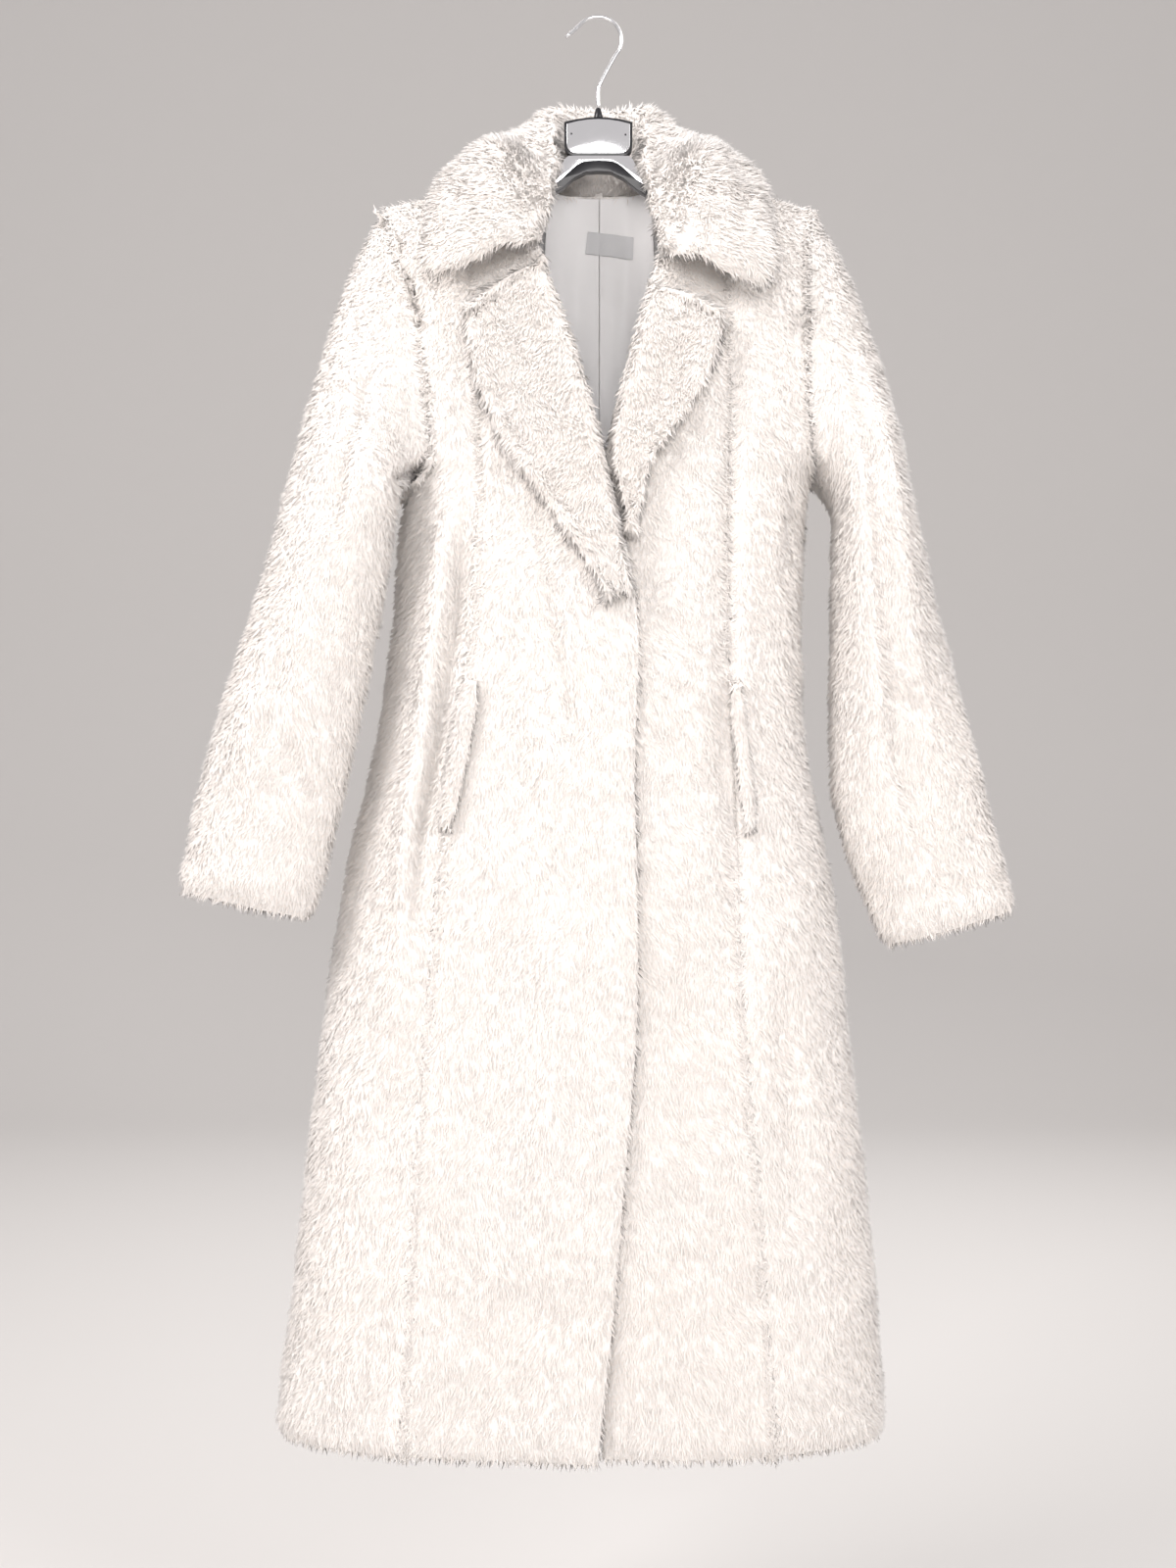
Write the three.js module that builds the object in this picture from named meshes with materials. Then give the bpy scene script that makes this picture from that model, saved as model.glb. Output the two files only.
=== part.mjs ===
// White faux fur coat on its hanger, in millimetres.
// +Z is up, the front faces -Y and the wearer's right is at -X, on the viewer's left.
// The origin is where the hook rests on a rail: the inside of its bend, at the top.
import * as THREE from 'three';

// Driving sizes
const furWall = 9;
const collarWall = 12;
const collarStandWall = 6;
const lapelWall = 11;
const weltWall = 6;
const liningWall = 1.5;
const labelWall = 0.8;
const seamGap = 0.3;
const panelSeamGap = 0.4;
const hemHeight = -1172;
const underarmHeight = -394;
const neckHalfWidth = 62;
const neckPointHeight = -131;
const shoulderSlope = 0.22;
const shoulderTipX = 180;
const backNeckHeight = -134;
const shoulderRound = 160;
const bodyMiddle = -4;
const sideRoundness = 2.5;
const shoulderRoundness = 2;
const underarmShare = 0.72;
const rowsBelow = 13;
const rowsAbove = 12;
const layClearance = 0.8;
const liningClearance = 3;
const edgeRounding = 0.28;

// Materials
const fur = new THREE.MeshStandardMaterial({ color: 0xf6f2ea, roughness: 0.95, metalness: 0 });
const satin = new THREE.MeshStandardMaterial({ color: 0xf4f4f6, roughness: 0.4, metalness: 0 });
const labelCloth = new THREE.MeshStandardMaterial({ color: 0xc4c4c6, roughness: 0.5, metalness: 0 });
const blackPlastic = new THREE.MeshStandardMaterial({ color: 0x121214, roughness: 0.25, metalness: 0 });
const brightPlate = new THREE.MeshStandardMaterial({ color: 0xdadde2, roughness: 0.12, metalness: 0.95 });
const chromeWire = new THREE.MeshStandardMaterial({ color: 0xc9ccd0, roughness: 0.15, metalness: 1 });

// Side seam on each side, and depth of front and back, at each height.
// Above the underarm the sides widen, because the armholes cut them off.
const bodyRows = [
  { height: -110, right: -236, left: 232, front: -58, back: 58 },
  { height: -230, right: -232, left: 228, front: -63, back: 66 },
  { height: -330, right: -218, left: 216, front: -72, back: 72 },
  { height: -375, right: -192, left: 196, front: -77, back: 73 },
  { height: -394, right: -168, left: 177, front: -79, back: 73 },
  { height: -460, right: -171, left: 171, front: -84, back: 72 },
  { height: -560, right: -180, left: 170, front: -88, back: 71 },
  { height: -640, right: -196, left: 177, front: -90, back: 70 },
  { height: -703, right: -212, left: 194, front: -92, back: 70 },
  { height: -845, right: -234, left: 209, front: -94, back: 70 },
  { height: -955, right: -246, left: 223, front: -97, back: 70 },
  { height: -1060, right: -258, left: 232, front: -99, back: 70 },
  { height: -1172, right: -273, left: 242, front: -100, back: 70 },
];

// Seam between the side and centre panel of each front
const rightPanelSeam = [
  { height: -138, x: -106 }, { height: -237, x: -104 }, { height: -450, x: -98 }, { height: -522, x: -104 },
  { height: -671, x: -123 }, { height: -874, x: -141 }, { height: -1172, x: -157 },
];
const leftPanelSeam = [
  { height: -138, x: 104 }, { height: -233, x: 103 }, { height: -356, x: 106 }, { height: -544, x: 104 },
  { height: -695, x: 110 }, { height: -820, x: 112 }, { height: -953, x: 123 }, { height: -1172, x: 138 },
];

// Front edge of each front: neck, roll of the lapel, then straight to the hem
const rightFrontEdge = [
  { height: -131, x: -62 }, { height: -170, x: -61 }, { height: -207, x: -47 }, { height: -237, x: -39 },
  { height: -283, x: -22 }, { height: -343, x: -5 }, { height: -388, x: 6 }, { height: -445, x: 20 },
  { height: -488, x: 31 }, { height: -560, x: 31 }, { height: -590, x: 25 }, { height: -660, x: 28 },
  { height: -835, x: 29 }, { height: -950, x: 19 }, { height: -1080, x: 8 }, { height: -1172, x: -3 },
];
const leftFrontEdge = [
  { height: -131, x: 62 }, { height: -175, x: 58 }, { height: -236, x: 39 }, { height: -256, x: 33 },
  { height: -316, x: 17 }, { height: -372, x: 5 }, { height: -450, x: -6 }, { height: -520, x: -10 },
  { height: -860, x: -9 }, { height: -1172, x: 3 },
];

// Armhole of each side, as it turns from the shoulder, 0 degrees, to the underarm, 180 degrees
const armholes = {
  right: [
    { turn: 0, front: -180, back: -180 }, { turn: 45, front: -172, back: -172 },
    { turn: 90, front: -148, back: -168 }, { turn: 135, front: -137, back: -166 },
    { turn: 162, front: -142, back: -164 }, { turn: 180, front: -168, back: -168 },
  ],
  left: [
    { turn: 0, front: 180, back: 180 }, { turn: 45, front: 171, back: 172 },
    { turn: 90, front: 168, back: 168 }, { turn: 135, front: 172, back: 168 },
    { turn: 162, front: 178, back: 170 }, { turn: 180, front: 177, back: 177 },
  ],
};

// Folds of the cloth: rise is how far a ridge stands out, or a trough sinks where it is negative
const frontFolds = [
  { name: 'right side ridge', rise: 9, width: 17, path: [[-130, -410], [-136, -520], [-152, -640], [-166, -800]] },
  { name: 'right side trough', rise: -8, width: 9, path: [[-108, -400], [-116, -500], [-133, -640], [-149, -800]] },
  { name: 'right dart', rise: -3, width: 8, path: [[-50, -420], [-42, -490], [-22, -590], [-6, -650]] },
  { name: 'left panel groove', rise: -3, width: 9, path: [[104, -240], [107, -420], [101, -530], [108, -690]] },
  { name: 'left side ridge', rise: 8, width: 14, path: [[150, -400], [154, -470], [154, -560]] },
  { name: 'left side trough', rise: -9, width: 8, path: [[166, -400], [165, -480], [163, -560]] },
  { name: 'left skirt swell', rise: 5, width: 30, path: [[170, -760], [180, -900], [196, -1120]] },
  { name: 'right skirt swell', rise: 5, width: 34, path: [[-196, -800], [-206, -950], [-222, -1120]] },
  { name: 'left skirt fall', rise: -4, width: 24, path: [[66, -820], [72, -960], [84, -1130]] },
  { name: 'right skirt fall', rise: -4, width: 26, path: [[-74, -780], [-84, -940], [-92, -1130]] },
];
const backFolds = [
  { name: 'back right flute', rise: 7, width: 30, path: [[-96, -560], [-112, -800], [-132, -1140]] },
  { name: 'back left flute', rise: 7, width: 30, path: [[88, -560], [102, -800], [120, -1140]] },
  { name: 'back middle fall', rise: -6, width: 34, path: [[-8, -600], [-10, -800], [-12, -1140]] },
  { name: 'back right fall', rise: -5, width: 26, path: [[-168, -620], [-182, -820], [-204, -1140]] },
  { name: 'back left fall', rise: -5, width: 26, path: [[150, -620], [160, -820], [184, -1140]] },
];
const sleeveFolds = {
  right: [
    { name: 'sleeve crease', rise: -5, width: 9, path: [[-190, -284], [-200, -350], [-213, -425]] },
    { name: 'elbow fold', rise: -5, width: 10, path: [[-252, -590], [-253, -622], [-236, -655], [-222, -664]] },
    { name: 'elbow swell', rise: 5, width: 22, path: [[-262, -520], [-292, -610]] },
  ],
  left: [
    { name: 'long sleeve fold', rise: -5, width: 9, path: [[208, -226], [222, -365], [238, -520], [262, -670]] },
    { name: 'front sleeve ridge', rise: 5, width: 14, path: [[206, -400], [212, -500], [226, -610], [250, -700]] },
  ],
};

// Smooth curve through a table's rows, read at one height or turn
function readTable(rows, keyName, key, column) {
  const falling = rows[0][keyName] > rows[rows.length - 1][keyName];
  const order = falling ? -1 : 1;
  let index = 0;
  while (index < rows.length - 2 && order * key > order * rows[index + 1][keyName]) index += 1;
  const before = rows[Math.max(index - 1, 0)];
  const from = rows[index];
  const to = rows[index + 1];
  const after = rows[Math.min(index + 2, rows.length - 1)];
  const span = to[keyName] - from[keyName];
  const share = THREE.MathUtils.clamp((key - from[keyName]) / span, 0, 1);
  const slopeFrom = (to[column] - before[column]) / (to[keyName] - before[keyName]) * span;
  const slopeTo = (after[column] - from[column]) / (after[keyName] - from[keyName]) * span;
  const square = share * share;
  const cube = square * share;
  return (2 * cube - 3 * square + 1) * from[column] + (cube - 2 * square + share) * slopeFrom
    + (3 * square - 2 * cube) * to[column] + (cube - square) * slopeTo;
}

// Sum of the ridges and troughs at one place of the front view
function foldRise(folds, x, z) {
  let rise = 0;
  for (const fold of folds) {
    const place = nearestOnPath(fold.path, x, z);
    if (place.distance > 3 * fold.width) continue;
    const across = Math.exp(-((place.distance / fold.width) ** 2));
    rise += fold.rise * across;
  }
  return rise;
}

function nearestOnPath(path, x, z) {
  let nearest = { distance: Infinity };
  for (let step = 0; step < path.length - 1; step += 1) {
    const [startX, startZ] = path[step];
    const [endX, endZ] = path[step + 1];
    const runX = endX - startX;
    const runZ = endZ - startZ;
    const share = THREE.MathUtils.clamp(
      ((x - startX) * runX + (z - startZ) * runZ) / (runX * runX + runZ * runZ), 0, 1);
    const distance = Math.hypot(x - startX - share * runX, z - startZ - share * runZ);
    if (distance < nearest.distance) nearest = { distance };
  }
  return nearest;
}

function shoulderHeight(x) {
  return neckPointHeight - shoulderSlope * (Math.abs(x) - neckHalfWidth);
}

// How far the body's section has opened from its side seam, 0 to 1
function openAcross(x, z) {
  const side = readTable(bodyRows, 'height', z, x < bodyMiddle ? 'right' : 'left');
  const reach = Math.min(Math.abs((x - bodyMiddle) / (side - bodyMiddle)), 1);
  return (1 - reach ** sideRoundness) ** (1 / sideRoundness);
}

// The back stands up behind the neck, so its section is already open at the neckline
const neckLift = 45;
const neckLiftFrom = 20;
function backCrest(x) {
  return shoulderHeight(x) + neckLift * (1 - THREE.MathUtils.smoothstep(Math.abs(x), neckLiftFrom, neckHalfWidth));
}

// How far the body's section has opened from its crest, the shoulder seam on the front, 0 to 1
function openBelow(top, z) {
  const climb = THREE.MathUtils.clamp((z - top + shoulderRound) / shoulderRound, 0, 1);
  return (1 - climb ** shoulderRoundness) ** (1 / shoulderRoundness);
}

// The upper front is moved out over the lower one, and the lower one in, where they lap
const lapOut = -6;
const lapIn = 5.5;
const lapFull = 4;
const lapFade = 80;
const lapReach = 50;
function lapShift(side, x, z) {
  const edge = side === 'right' ? Math.max(leftEdgeAt(z), -lapReach) : Math.min(rightEdgeAt(z), lapReach);
  const past = side === 'right' ? edge - x : x - edge;
  const fade = 1 - THREE.MathUtils.smoothstep(past, lapFull, lapFade);
  return (side === 'right' ? lapOut : lapIn) * fade;
}

function rightEdgeAt(z) {
  return readTable(rightFrontEdge, 'height', z, 'x');
}

function leftEdgeAt(z) {
  return readTable(leftFrontEdge, 'height', z, 'x');
}

// Outer surface of the front, the back, and the front as one side's panels follow it
function frontDepth(x, z) {
  const middle = readTable(bodyRows, 'height', z, 'front');
  const open = openAcross(x, z) * openBelow(shoulderHeight(x), z);
  return (middle - foldRise(frontFolds, x, z)) * open - seamGap / 2;
}

function backDepth(x, z) {
  const middle = readTable(bodyRows, 'height', z, 'back');
  const open = openAcross(x, z) * openBelow(backCrest(x), z);
  return (middle + foldRise(backFolds, x, z)) * open + seamGap / 2;
}

function frontPanelDepth(side, x, z) {
  return frontDepth(x, z) + lapShift(side, x, z) * openBelow(shoulderHeight(x), z);
}

function armholeX(side, face, share) {
  return readTable(armholes[side], 'turn', 180 * (1 - share), face);
}

// Height of a panel's row above the underarm: level at the underarm, on the shoulder seam at the top
function riseTo(top, share) {
  return underarmHeight + (top - underarmHeight) * (1 - Math.cos(Math.PI * share)) / 2;
}

// Steps across and along each kind of wall, and how near its edges the rounding starts, as shares of it
const grids = {
  sidePanel: { across: 7, acrossEdge: 0.06 },
  centrePanel: { across: 6, acrossEdge: 0.06 },
  backPanel: { across: 8, acrossEdge: 0.05 },
  sleeve: { along: 15, alongEdge: 0.012 },
  collar: { across: 9, acrossEdge: 0.03, along: 24, alongEdge: 0.015 },
  lapel: { across: 5, acrossEdge: 0.08, along: 12, alongEdge: 0.02 },
  welt: { across: 2, acrossEdge: 0.15, along: 8, alongEdge: 0.03 },
  lining: { across: 3, acrossEdge: 0.03, along: 11, alongEdge: 0.01 },
  label: { across: 3, acrossEdge: 0.04, along: 1, alongEdge: 0.08 },
};

function sharesAcross(grid) {
  return edgedShares(grid.across, grid.acrossEdge);
}

function sharesAlong(grid) {
  return edgedShares(grid.along, grid.alongEdge);
}

// A closed wall of cloth: a grid of outer points, the same points moved in, and rounded edges
function clothWall(pointAt, options) {
  const { across, along, normalAt, closed = false } = options;
  const outer = [];
  const inner = [];
  for (const v of along) {
    for (const u of across) {
      const point = pointAt(u, v);
      const normal = normalAt(u, v);
      const atEdge = v === 0 || v === 1 || (!closed && (u === 0 || u === 1));
      const thickness = options.thicknessAt ? options.thicknessAt(u) : options.thickness;
      const drop = atEdge ? edgeRounding * thickness : 0;
      outer.push(point.clone().addScaledVector(normal, -drop));
      inner.push(point.clone().addScaledVector(normal, drop - thickness));
    }
  }
  return closedGrid(outer, inner, across.length, along.length, closed);
}

// Shares of the way along a wall, with one more close to each edge for its rounding
function edgedShares(count, edge) {
  const shares = [0];
  for (let step = 0; step <= count; step += 1) shares.push(edge + (1 - 2 * edge) * step / count);
  shares.push(1);
  return shares;
}

// Rows of every body panel: level ones up to the underarm, then rising ones up to the shoulder
function panelRows() {
  const hemEdge = 0.008;
  const shares = [0];
  for (let step = 0; step <= rowsBelow; step += 1) {
    shares.push(THREE.MathUtils.lerp(hemEdge, underarmShare, step / rowsBelow));
  }
  for (let step = 1; step <= rowsAbove; step += 1) {
    shares.push(THREE.MathUtils.lerp(underarmShare, 1, step / rowsAbove));
  }
  return shares;
}

function surfaceNormal(pointAt, u, v, closed) {
  const reach = 0.004;
  const uLow = closed ? u - reach : Math.max(u - reach, 0);
  const uHigh = closed ? u + reach : Math.min(u + reach, 1);
  const vLow = Math.max(v - reach, 0);
  const vHigh = Math.min(v + reach, 1);
  const acrossRun = pointAt(uHigh, v).sub(pointAt(uLow, v));
  const alongRun = pointAt(u, vHigh).sub(pointAt(u, vLow));
  return acrossRun.cross(alongRun).normalize();
}

// Two grids joined round their edges; faces are turned out by the sign of the volume
function closedGrid(outer, inner, width, height, closed) {
  const faces = [];
  const total = width * height;
  const last = closed ? width : width - 1;
  const place = (column, row) => (column % width) + row * width;
  const addQuad = (a, b, c, d) => faces.push(a, b, c, a, c, d);
  for (let row = 0; row < height - 1; row += 1) {
    for (let column = 0; column < last; column += 1) {
      const a = place(column, row);
      const b = place(column + 1, row);
      const c = place(column + 1, row + 1);
      const d = place(column, row + 1);
      addQuad(a, b, c, d);
      addQuad(total + a, total + d, total + c, total + b);
    }
  }
  for (let column = 0; column < last; column += 1) {
    const low = [place(column, 0), place(column + 1, 0)];
    const high = [place(column, height - 1), place(column + 1, height - 1)];
    addQuad(low[1], low[0], total + low[0], total + low[1]);
    addQuad(high[0], high[1], total + high[1], total + high[0]);
  }
  for (let row = 0; !closed && row < height - 1; row += 1) {
    const left = [place(0, row), place(0, row + 1)];
    const right = [place(width - 1, row), place(width - 1, row + 1)];
    addQuad(left[0], left[1], total + left[1], total + left[0]);
    addQuad(right[1], right[0], total + right[0], total + right[1]);
  }
  return solidFrom([...outer, ...inner], faces);
}

function solidFrom(points, faces) {
  const positions = new Float32Array(points.length * 3);
  points.forEach((point, index) => point.toArray(positions, index * 3));
  let volume = 0;
  for (let face = 0; face < faces.length; face += 3) {
    const [a, b, c] = [points[faces[face]], points[faces[face + 1]], points[faces[face + 2]]];
    volume += a.dot(b.clone().cross(c));
  }
  const turned = volume < 0 ? faces.map((unused, index) => faces[index - (index % 3) + 2 - (index % 3)]) : faces;
  const geometry = new THREE.BufferGeometry();
  geometry.setAttribute('position', new THREE.BufferAttribute(positions, 3));
  geometry.setIndex(turned);
  geometry.computeVertexNormals();
  return geometry;
}

// Share of the way across a panel, with points closer together where it turns to the side
function turnToSide(share) {
  return 1 - Math.cos(share * Math.PI / 2);
}

// Panel of the front: from its side seam and armhole, or from the panel seam, to its inner edge
function frontPanel(side, part) {
  const sign = side === 'right' ? -1 : 1;
  const seamRows = side === 'right' ? rightPanelSeam : leftPanelSeam;
  const edgeRows = side === 'right' ? rightFrontEdge : leftFrontEdge;
  const seamTop = shoulderHeight(seamRows[0].x);
  const isSide = part === 'side';
  const pointAt = (u, v) => {
    const above = v > underarmShare;
    const climb = above ? (v - underarmShare) / (1 - underarmShare) : 0;
    const level = THREE.MathUtils.lerp(hemHeight, underarmHeight, Math.min(v / underarmShare, 1));
    const seamZ = above ? riseTo(seamTop, climb) : level;
    const seamX = readTable(seamRows, 'height', seamZ, 'x') + sign * (isSide ? 1 : -1) * panelSeamGap / 2;
    let startX = seamX;
    let endX = seamX;
    let topStart = seamTop;
    let topEnd = seamTop;
    if (isSide) {
      startX = above ? armholeX(side, 'front', climb) : readTable(bodyRows, 'height', level, side);
      topStart = shoulderHeight(shoulderTipX);
    } else {
      const edgeZ = above ? riseTo(neckPointHeight, climb) : level;
      endX = readTable(edgeRows, 'height', edgeZ, 'x');
      topEnd = neckPointHeight;
    }
    const share = isSide ? turnToSide(u) : u;
    const x = THREE.MathUtils.lerp(startX, endX, share);
    const z = above ? riseTo(THREE.MathUtils.lerp(topStart, topEnd, share), climb) : level;
    return new THREE.Vector3(x, frontPanelDepth(side, x, z), z);
  };
  const seamShift = sign * (isSide ? -1 : 1) * panelSeamGap / 2;
  const depthAt = (x, z) => frontPanelDepth(side, x + seamShift, z);
  const normalAt = panelNormals(pointAt, -1, depthAt, isSide);
  const across = sharesAcross(isSide ? grids.sidePanel : grids.centrePanel);
  return clothWall(pointAt, { across, along: panelRows(), thickness: furWall, normalAt });
}

// Normals of a body panel. Where two panels meet at a seam, both take the same normal, in the seam's plane
function panelNormals(pointAt, facing, depthAt, fromSide) {
  const [plainU, plainV] = [0.6, 0.4];
  const inwards = Math.sign(surfaceNormal(pointAt, plainU, plainV, false).y) !== facing;
  return (u, v) => {
    const point = pointAt(u, v);
    const normal = surfaceNormal(pointAt, u, v, false);
    if (inwards) normal.negate();
    const onSideSeam = fromSide && u === 0 && v <= underarmShare;
    const onNeckline = facing > 0 && Math.abs(point.x) < neckHalfWidth;
    if (onSideSeam || (v === 1 && !onNeckline)) return normal.setY(0).normalize();
    const onPanelSeam = u === (fromSide ? 1 : 0);
    return onPanelSeam ? fieldNormal(depthAt, point.x, point.z, facing) : normal;
  };
}

function fieldNormal(depthAt, x, z, facing) {
  const slopeX = (depthAt(x + 1, z) - depthAt(x - 1, z)) / 2;
  const slopeZ = (depthAt(x, z + 1) - depthAt(x, z - 1)) / 2;
  return new THREE.Vector3(-facing * slopeX, facing, -facing * slopeZ).normalize();
}

function backNeckline(x) {
  const share = Math.min(Math.abs(x) / neckHalfWidth, 1);
  return share < 1 ? THREE.MathUtils.lerp(backNeckHeight, neckPointHeight, share * share) : shoulderHeight(x);
}

// Half of the back, from its side seam and armhole to the centre back seam
function backPanel(side) {
  const sign = side === 'right' ? -1 : 1;
  const pointAt = (u, v) => {
    const above = v > underarmShare;
    const climb = above ? (v - underarmShare) / (1 - underarmShare) : 0;
    const level = THREE.MathUtils.lerp(hemHeight, underarmHeight, Math.min(v / underarmShare, 1));
    const startX = above ? armholeX(side, 'back', climb) : readTable(bodyRows, 'height', level, side);
    const x = THREE.MathUtils.lerp(startX, sign * seamGap / 2, turnToSide(u));
    const topX = THREE.MathUtils.lerp(sign * shoulderTipX, sign * seamGap / 2, turnToSide(u));
    const z = above ? riseTo(backNeckline(topX), climb) : level;
    return new THREE.Vector3(x, backDepth(x, z), z);
  };
  const seamNormals = panelNormals(pointAt, 1, backDepth, true);
  const normalAt = (u, v) => {
    const normal = seamNormals(u, v);
    return u === 1 ? normal.setX(0).normalize() : normal;
  };
  const across = sharesAcross(grids.backPanel);
  return clothWall(pointAt, { across, along: panelRows(), thickness: furWall, normalAt });
}

// Sleeve sections below the armhole: centre, half width, half depth, tilt in the front view
// and turn of the inner end towards the front
const sleeveRows = {
  right: [
    { along: 0.30, x: -207, y: -62, z: -410, width: 54, depth: 38, tilt: 6, turn: 28 },
    { along: 0.45, x: -220, y: -54, z: -470, width: 54, depth: 44, tilt: 8, turn: 22 },
    { along: 0.60, x: -236, y: -54, z: -536, width: 58, depth: 42, tilt: 10, turn: 16 },
    { along: 0.80, x: -262, y: -56, z: -636, width: 63, depth: 38, tilt: 12, turn: 10 },
    { along: 1.00, x: -285, y: -60, z: -736, width: 60, depth: 32, tilt: 12, turn: 6 },
  ],
  left: [
    { along: 0.30, x: 229, y: -4, z: -420, width: 36, depth: 66, tilt: 5, turn: 0 },
    { along: 0.45, x: 233, y: -6, z: -482, width: 45, depth: 58, tilt: 7, turn: 0 },
    { along: 0.60, x: 243, y: -8, z: -560, width: 56, depth: 48, tilt: 10, turn: 0 },
    { along: 0.80, x: 255, y: -12, z: -650, width: 67, depth: 38, tilt: 14, turn: 0 },
    { along: 1.00, x: 289, y: -16, z: -758, width: 62, depth: 32, tilt: 16, turn: 0 },
  ],
};
const capReach = 0.16;
const hangReach = 0.4;
const capLeave = { fall: 0.25, topFall: 0.3, topHold: 0.35 };
const armholeBlend = 0.16;
const armholeLean = 0.25;
const foldFade = 0.4;

function sleeveRing(side, angle, along) {
  const sign = side === 'right' ? -1 : 1;
  const rows = sleeveRows[side];
  const value = (column) => readTable(rows, 'along', along, column);
  const tilt = THREE.MathUtils.degToRad(value('tilt'));
  const turn = THREE.MathUtils.degToRad(value('turn'));
  const wide = value('width') * Math.cos(angle);
  const deep = value('depth') * Math.sin(angle);
  const outwards = wide * Math.cos(turn) + deep * Math.sin(turn);
  const forwards = deep * Math.cos(turn) - wide * Math.sin(turn);
  return new THREE.Vector3(
    value('x') + sign * outwards * Math.cos(tilt),
    value('y') - forwards,
    value('z') + outwards * Math.sin(tilt));
}

// Armhole loop: the front half runs from shoulder to underarm, the back half returns
function armholePoint(side, angle) {
  const sign = side === 'right' ? -1 : 1;
  const onFront = angle <= Math.PI;
  const fromTop = onFront ? angle : 2 * Math.PI - angle;
  const climb = 1 - fromTop / Math.PI;
  const x = armholeX(side, onFront ? 'front' : 'back', climb);
  const z = riseTo(shoulderHeight(shoulderTipX), climb);
  const y = onFront ? frontPanelDepth(side, x, z) : backDepth(x, z);
  return new THREE.Vector3(x + sign * 2 * seamGap, y, z);
}

function sleevePoint(side, angle, along) {
  const sign = side === 'right' ? -1 : 1;
  const firstAlong = sleeveRows[side][0].along;
  if (along >= firstAlong) return sleeveRing(side, angle, along);
  const start = armholePoint(side, angle);
  const end = sleeveRing(side, angle, firstAlong);
  const nextStep = 0.05;
  const next = sleeveRing(side, angle, firstAlong + nextStep);
  const span = start.distanceTo(end);
  const top = Math.max(Math.cos(angle), 0);
  const leave = new THREE.Vector3(
    sign * (1 - capLeave.topHold * top), 0, -capLeave.fall - capLeave.topFall * top).normalize();
  const arrive = end.clone().sub(next).normalize();
  const first = start.clone().addScaledVector(leave, capReach * span);
  const second = end.clone().addScaledVector(arrive, hangReach * span);
  const share = along / firstAlong;
  const rest = 1 - share;
  return start.multiplyScalar(rest ** 3)
    .addScaledVector(first, 3 * rest * rest * share)
    .addScaledVector(second, 3 * rest * share * share)
    .addScaledVector(end, share ** 3);
}

// One sleeve: a tube of cloth, open at the armhole and cuff
function sleeve(side) {
  const folds = sleeveFolds[side];
  const plainAt = (u, v) => sleevePoint(side, wrapTurn(2 * Math.PI * u), v);
  const outwardsAt = (u, v) => {
    const normal = surfaceNormal(plainAt, u, v, true);
    const centre = sleeveCentre(side, v);
    return normal.dot(plainAt(u, v).sub(centre)) < 0 ? normal.negate() : normal;
  };
  const pointAt = (u, v) => {
    const point = plainAt(u, v);
    const front = THREE.MathUtils.smoothstep(Math.sin(2 * Math.PI * u), 0, foldFade);
    const rise = foldRise(folds, point.x, point.z) * front;
    return point.addScaledVector(outwardsAt(u, v), rise);
  };
  const normalAt = (u, v) => {
    const share = THREE.MathUtils.smoothstep(v, 0, armholeBlend);
    return armholeNormal(side, u).lerp(outwardsAt(u, v), share).normalize();
  };
  const across = Array.from({ length: 2 * rowsAbove }, (unused, step) => step / (2 * rowsAbove));
  return clothWall(pointAt, { across, along: sharesAlong(grids.sleeve), thickness: furWall, closed: true, normalAt });
}

function wrapTurn(angle) {
  const full = 2 * Math.PI;
  return ((angle % full) + full) % full;
}

function sleeveCentre(side, v) {
  const centre = new THREE.Vector3();
  const quarters = [0, 0.25, 0.5, 0.75];
  for (const share of quarters) centre.add(sleevePoint(side, wrapTurn(2 * Math.PI * share), v));
  return centre.multiplyScalar(1 / quarters.length);
}

// At the armhole the sleeve's wall stands in the armhole's own plane, a little away from the body
function armholeNormal(side, u) {
  const sign = side === 'right' ? -1 : 1;
  const reach = 0.02;
  const before = armholePoint(side, wrapTurn(2 * Math.PI * (u - reach)));
  const after = armholePoint(side, wrapTurn(2 * Math.PI * (u + reach)));
  const run = after.sub(before);
  const normal = new THREE.Vector3(0, run.z, -run.y).normalize();
  const point = armholePoint(side, wrapTurn(2 * Math.PI * u));
  const centreZ = (underarmHeight + shoulderHeight(shoulderTipX)) / 2;
  if (normal.y * point.y + normal.z * (point.z - centreZ) < 0) normal.negate();
  normal.x = -sign * armholeLean;
  return normal.normalize();
}

// Collar sections, from the gorge at the front, round the neck, to the centre back.
// Each has its neck seam, its fold, the middle of its fall and its outer edge, on the wearer's left.
const collarRows = [
  { seam: [42, -66, -208], fold: [52, -82, -210], belly: [92, -97, -226], edge: [131, -92, -241] },
  { seam: [38, -50, -182], fold: [38, -54, -168], belly: [92, -86, -182], edge: [145, -90, -224] },
  { seam: [40, -24, -148], fold: [33, -24, -134], belly: [90, -52, -122], edge: [145, -70, -192] },
  { seam: [40, 6, -124], fold: [31, 5, -106], belly: [88, 8, -92], edge: [139, -12, -133] },
  { seam: [30, 36, -133.3], fold: [36, 38, -56], belly: [80, 58, -84], edge: [108, 68, -146] },
  { seam: [0, 40, -133.9], fold: [0, 46, -57], belly: [0, 84, -92], edge: [0, 90, -168] },
];
const foldWidth = 22;
const leftGorgeDrop = 9;
const standShare = 0.25;
const fallShare = 0.6;

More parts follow.
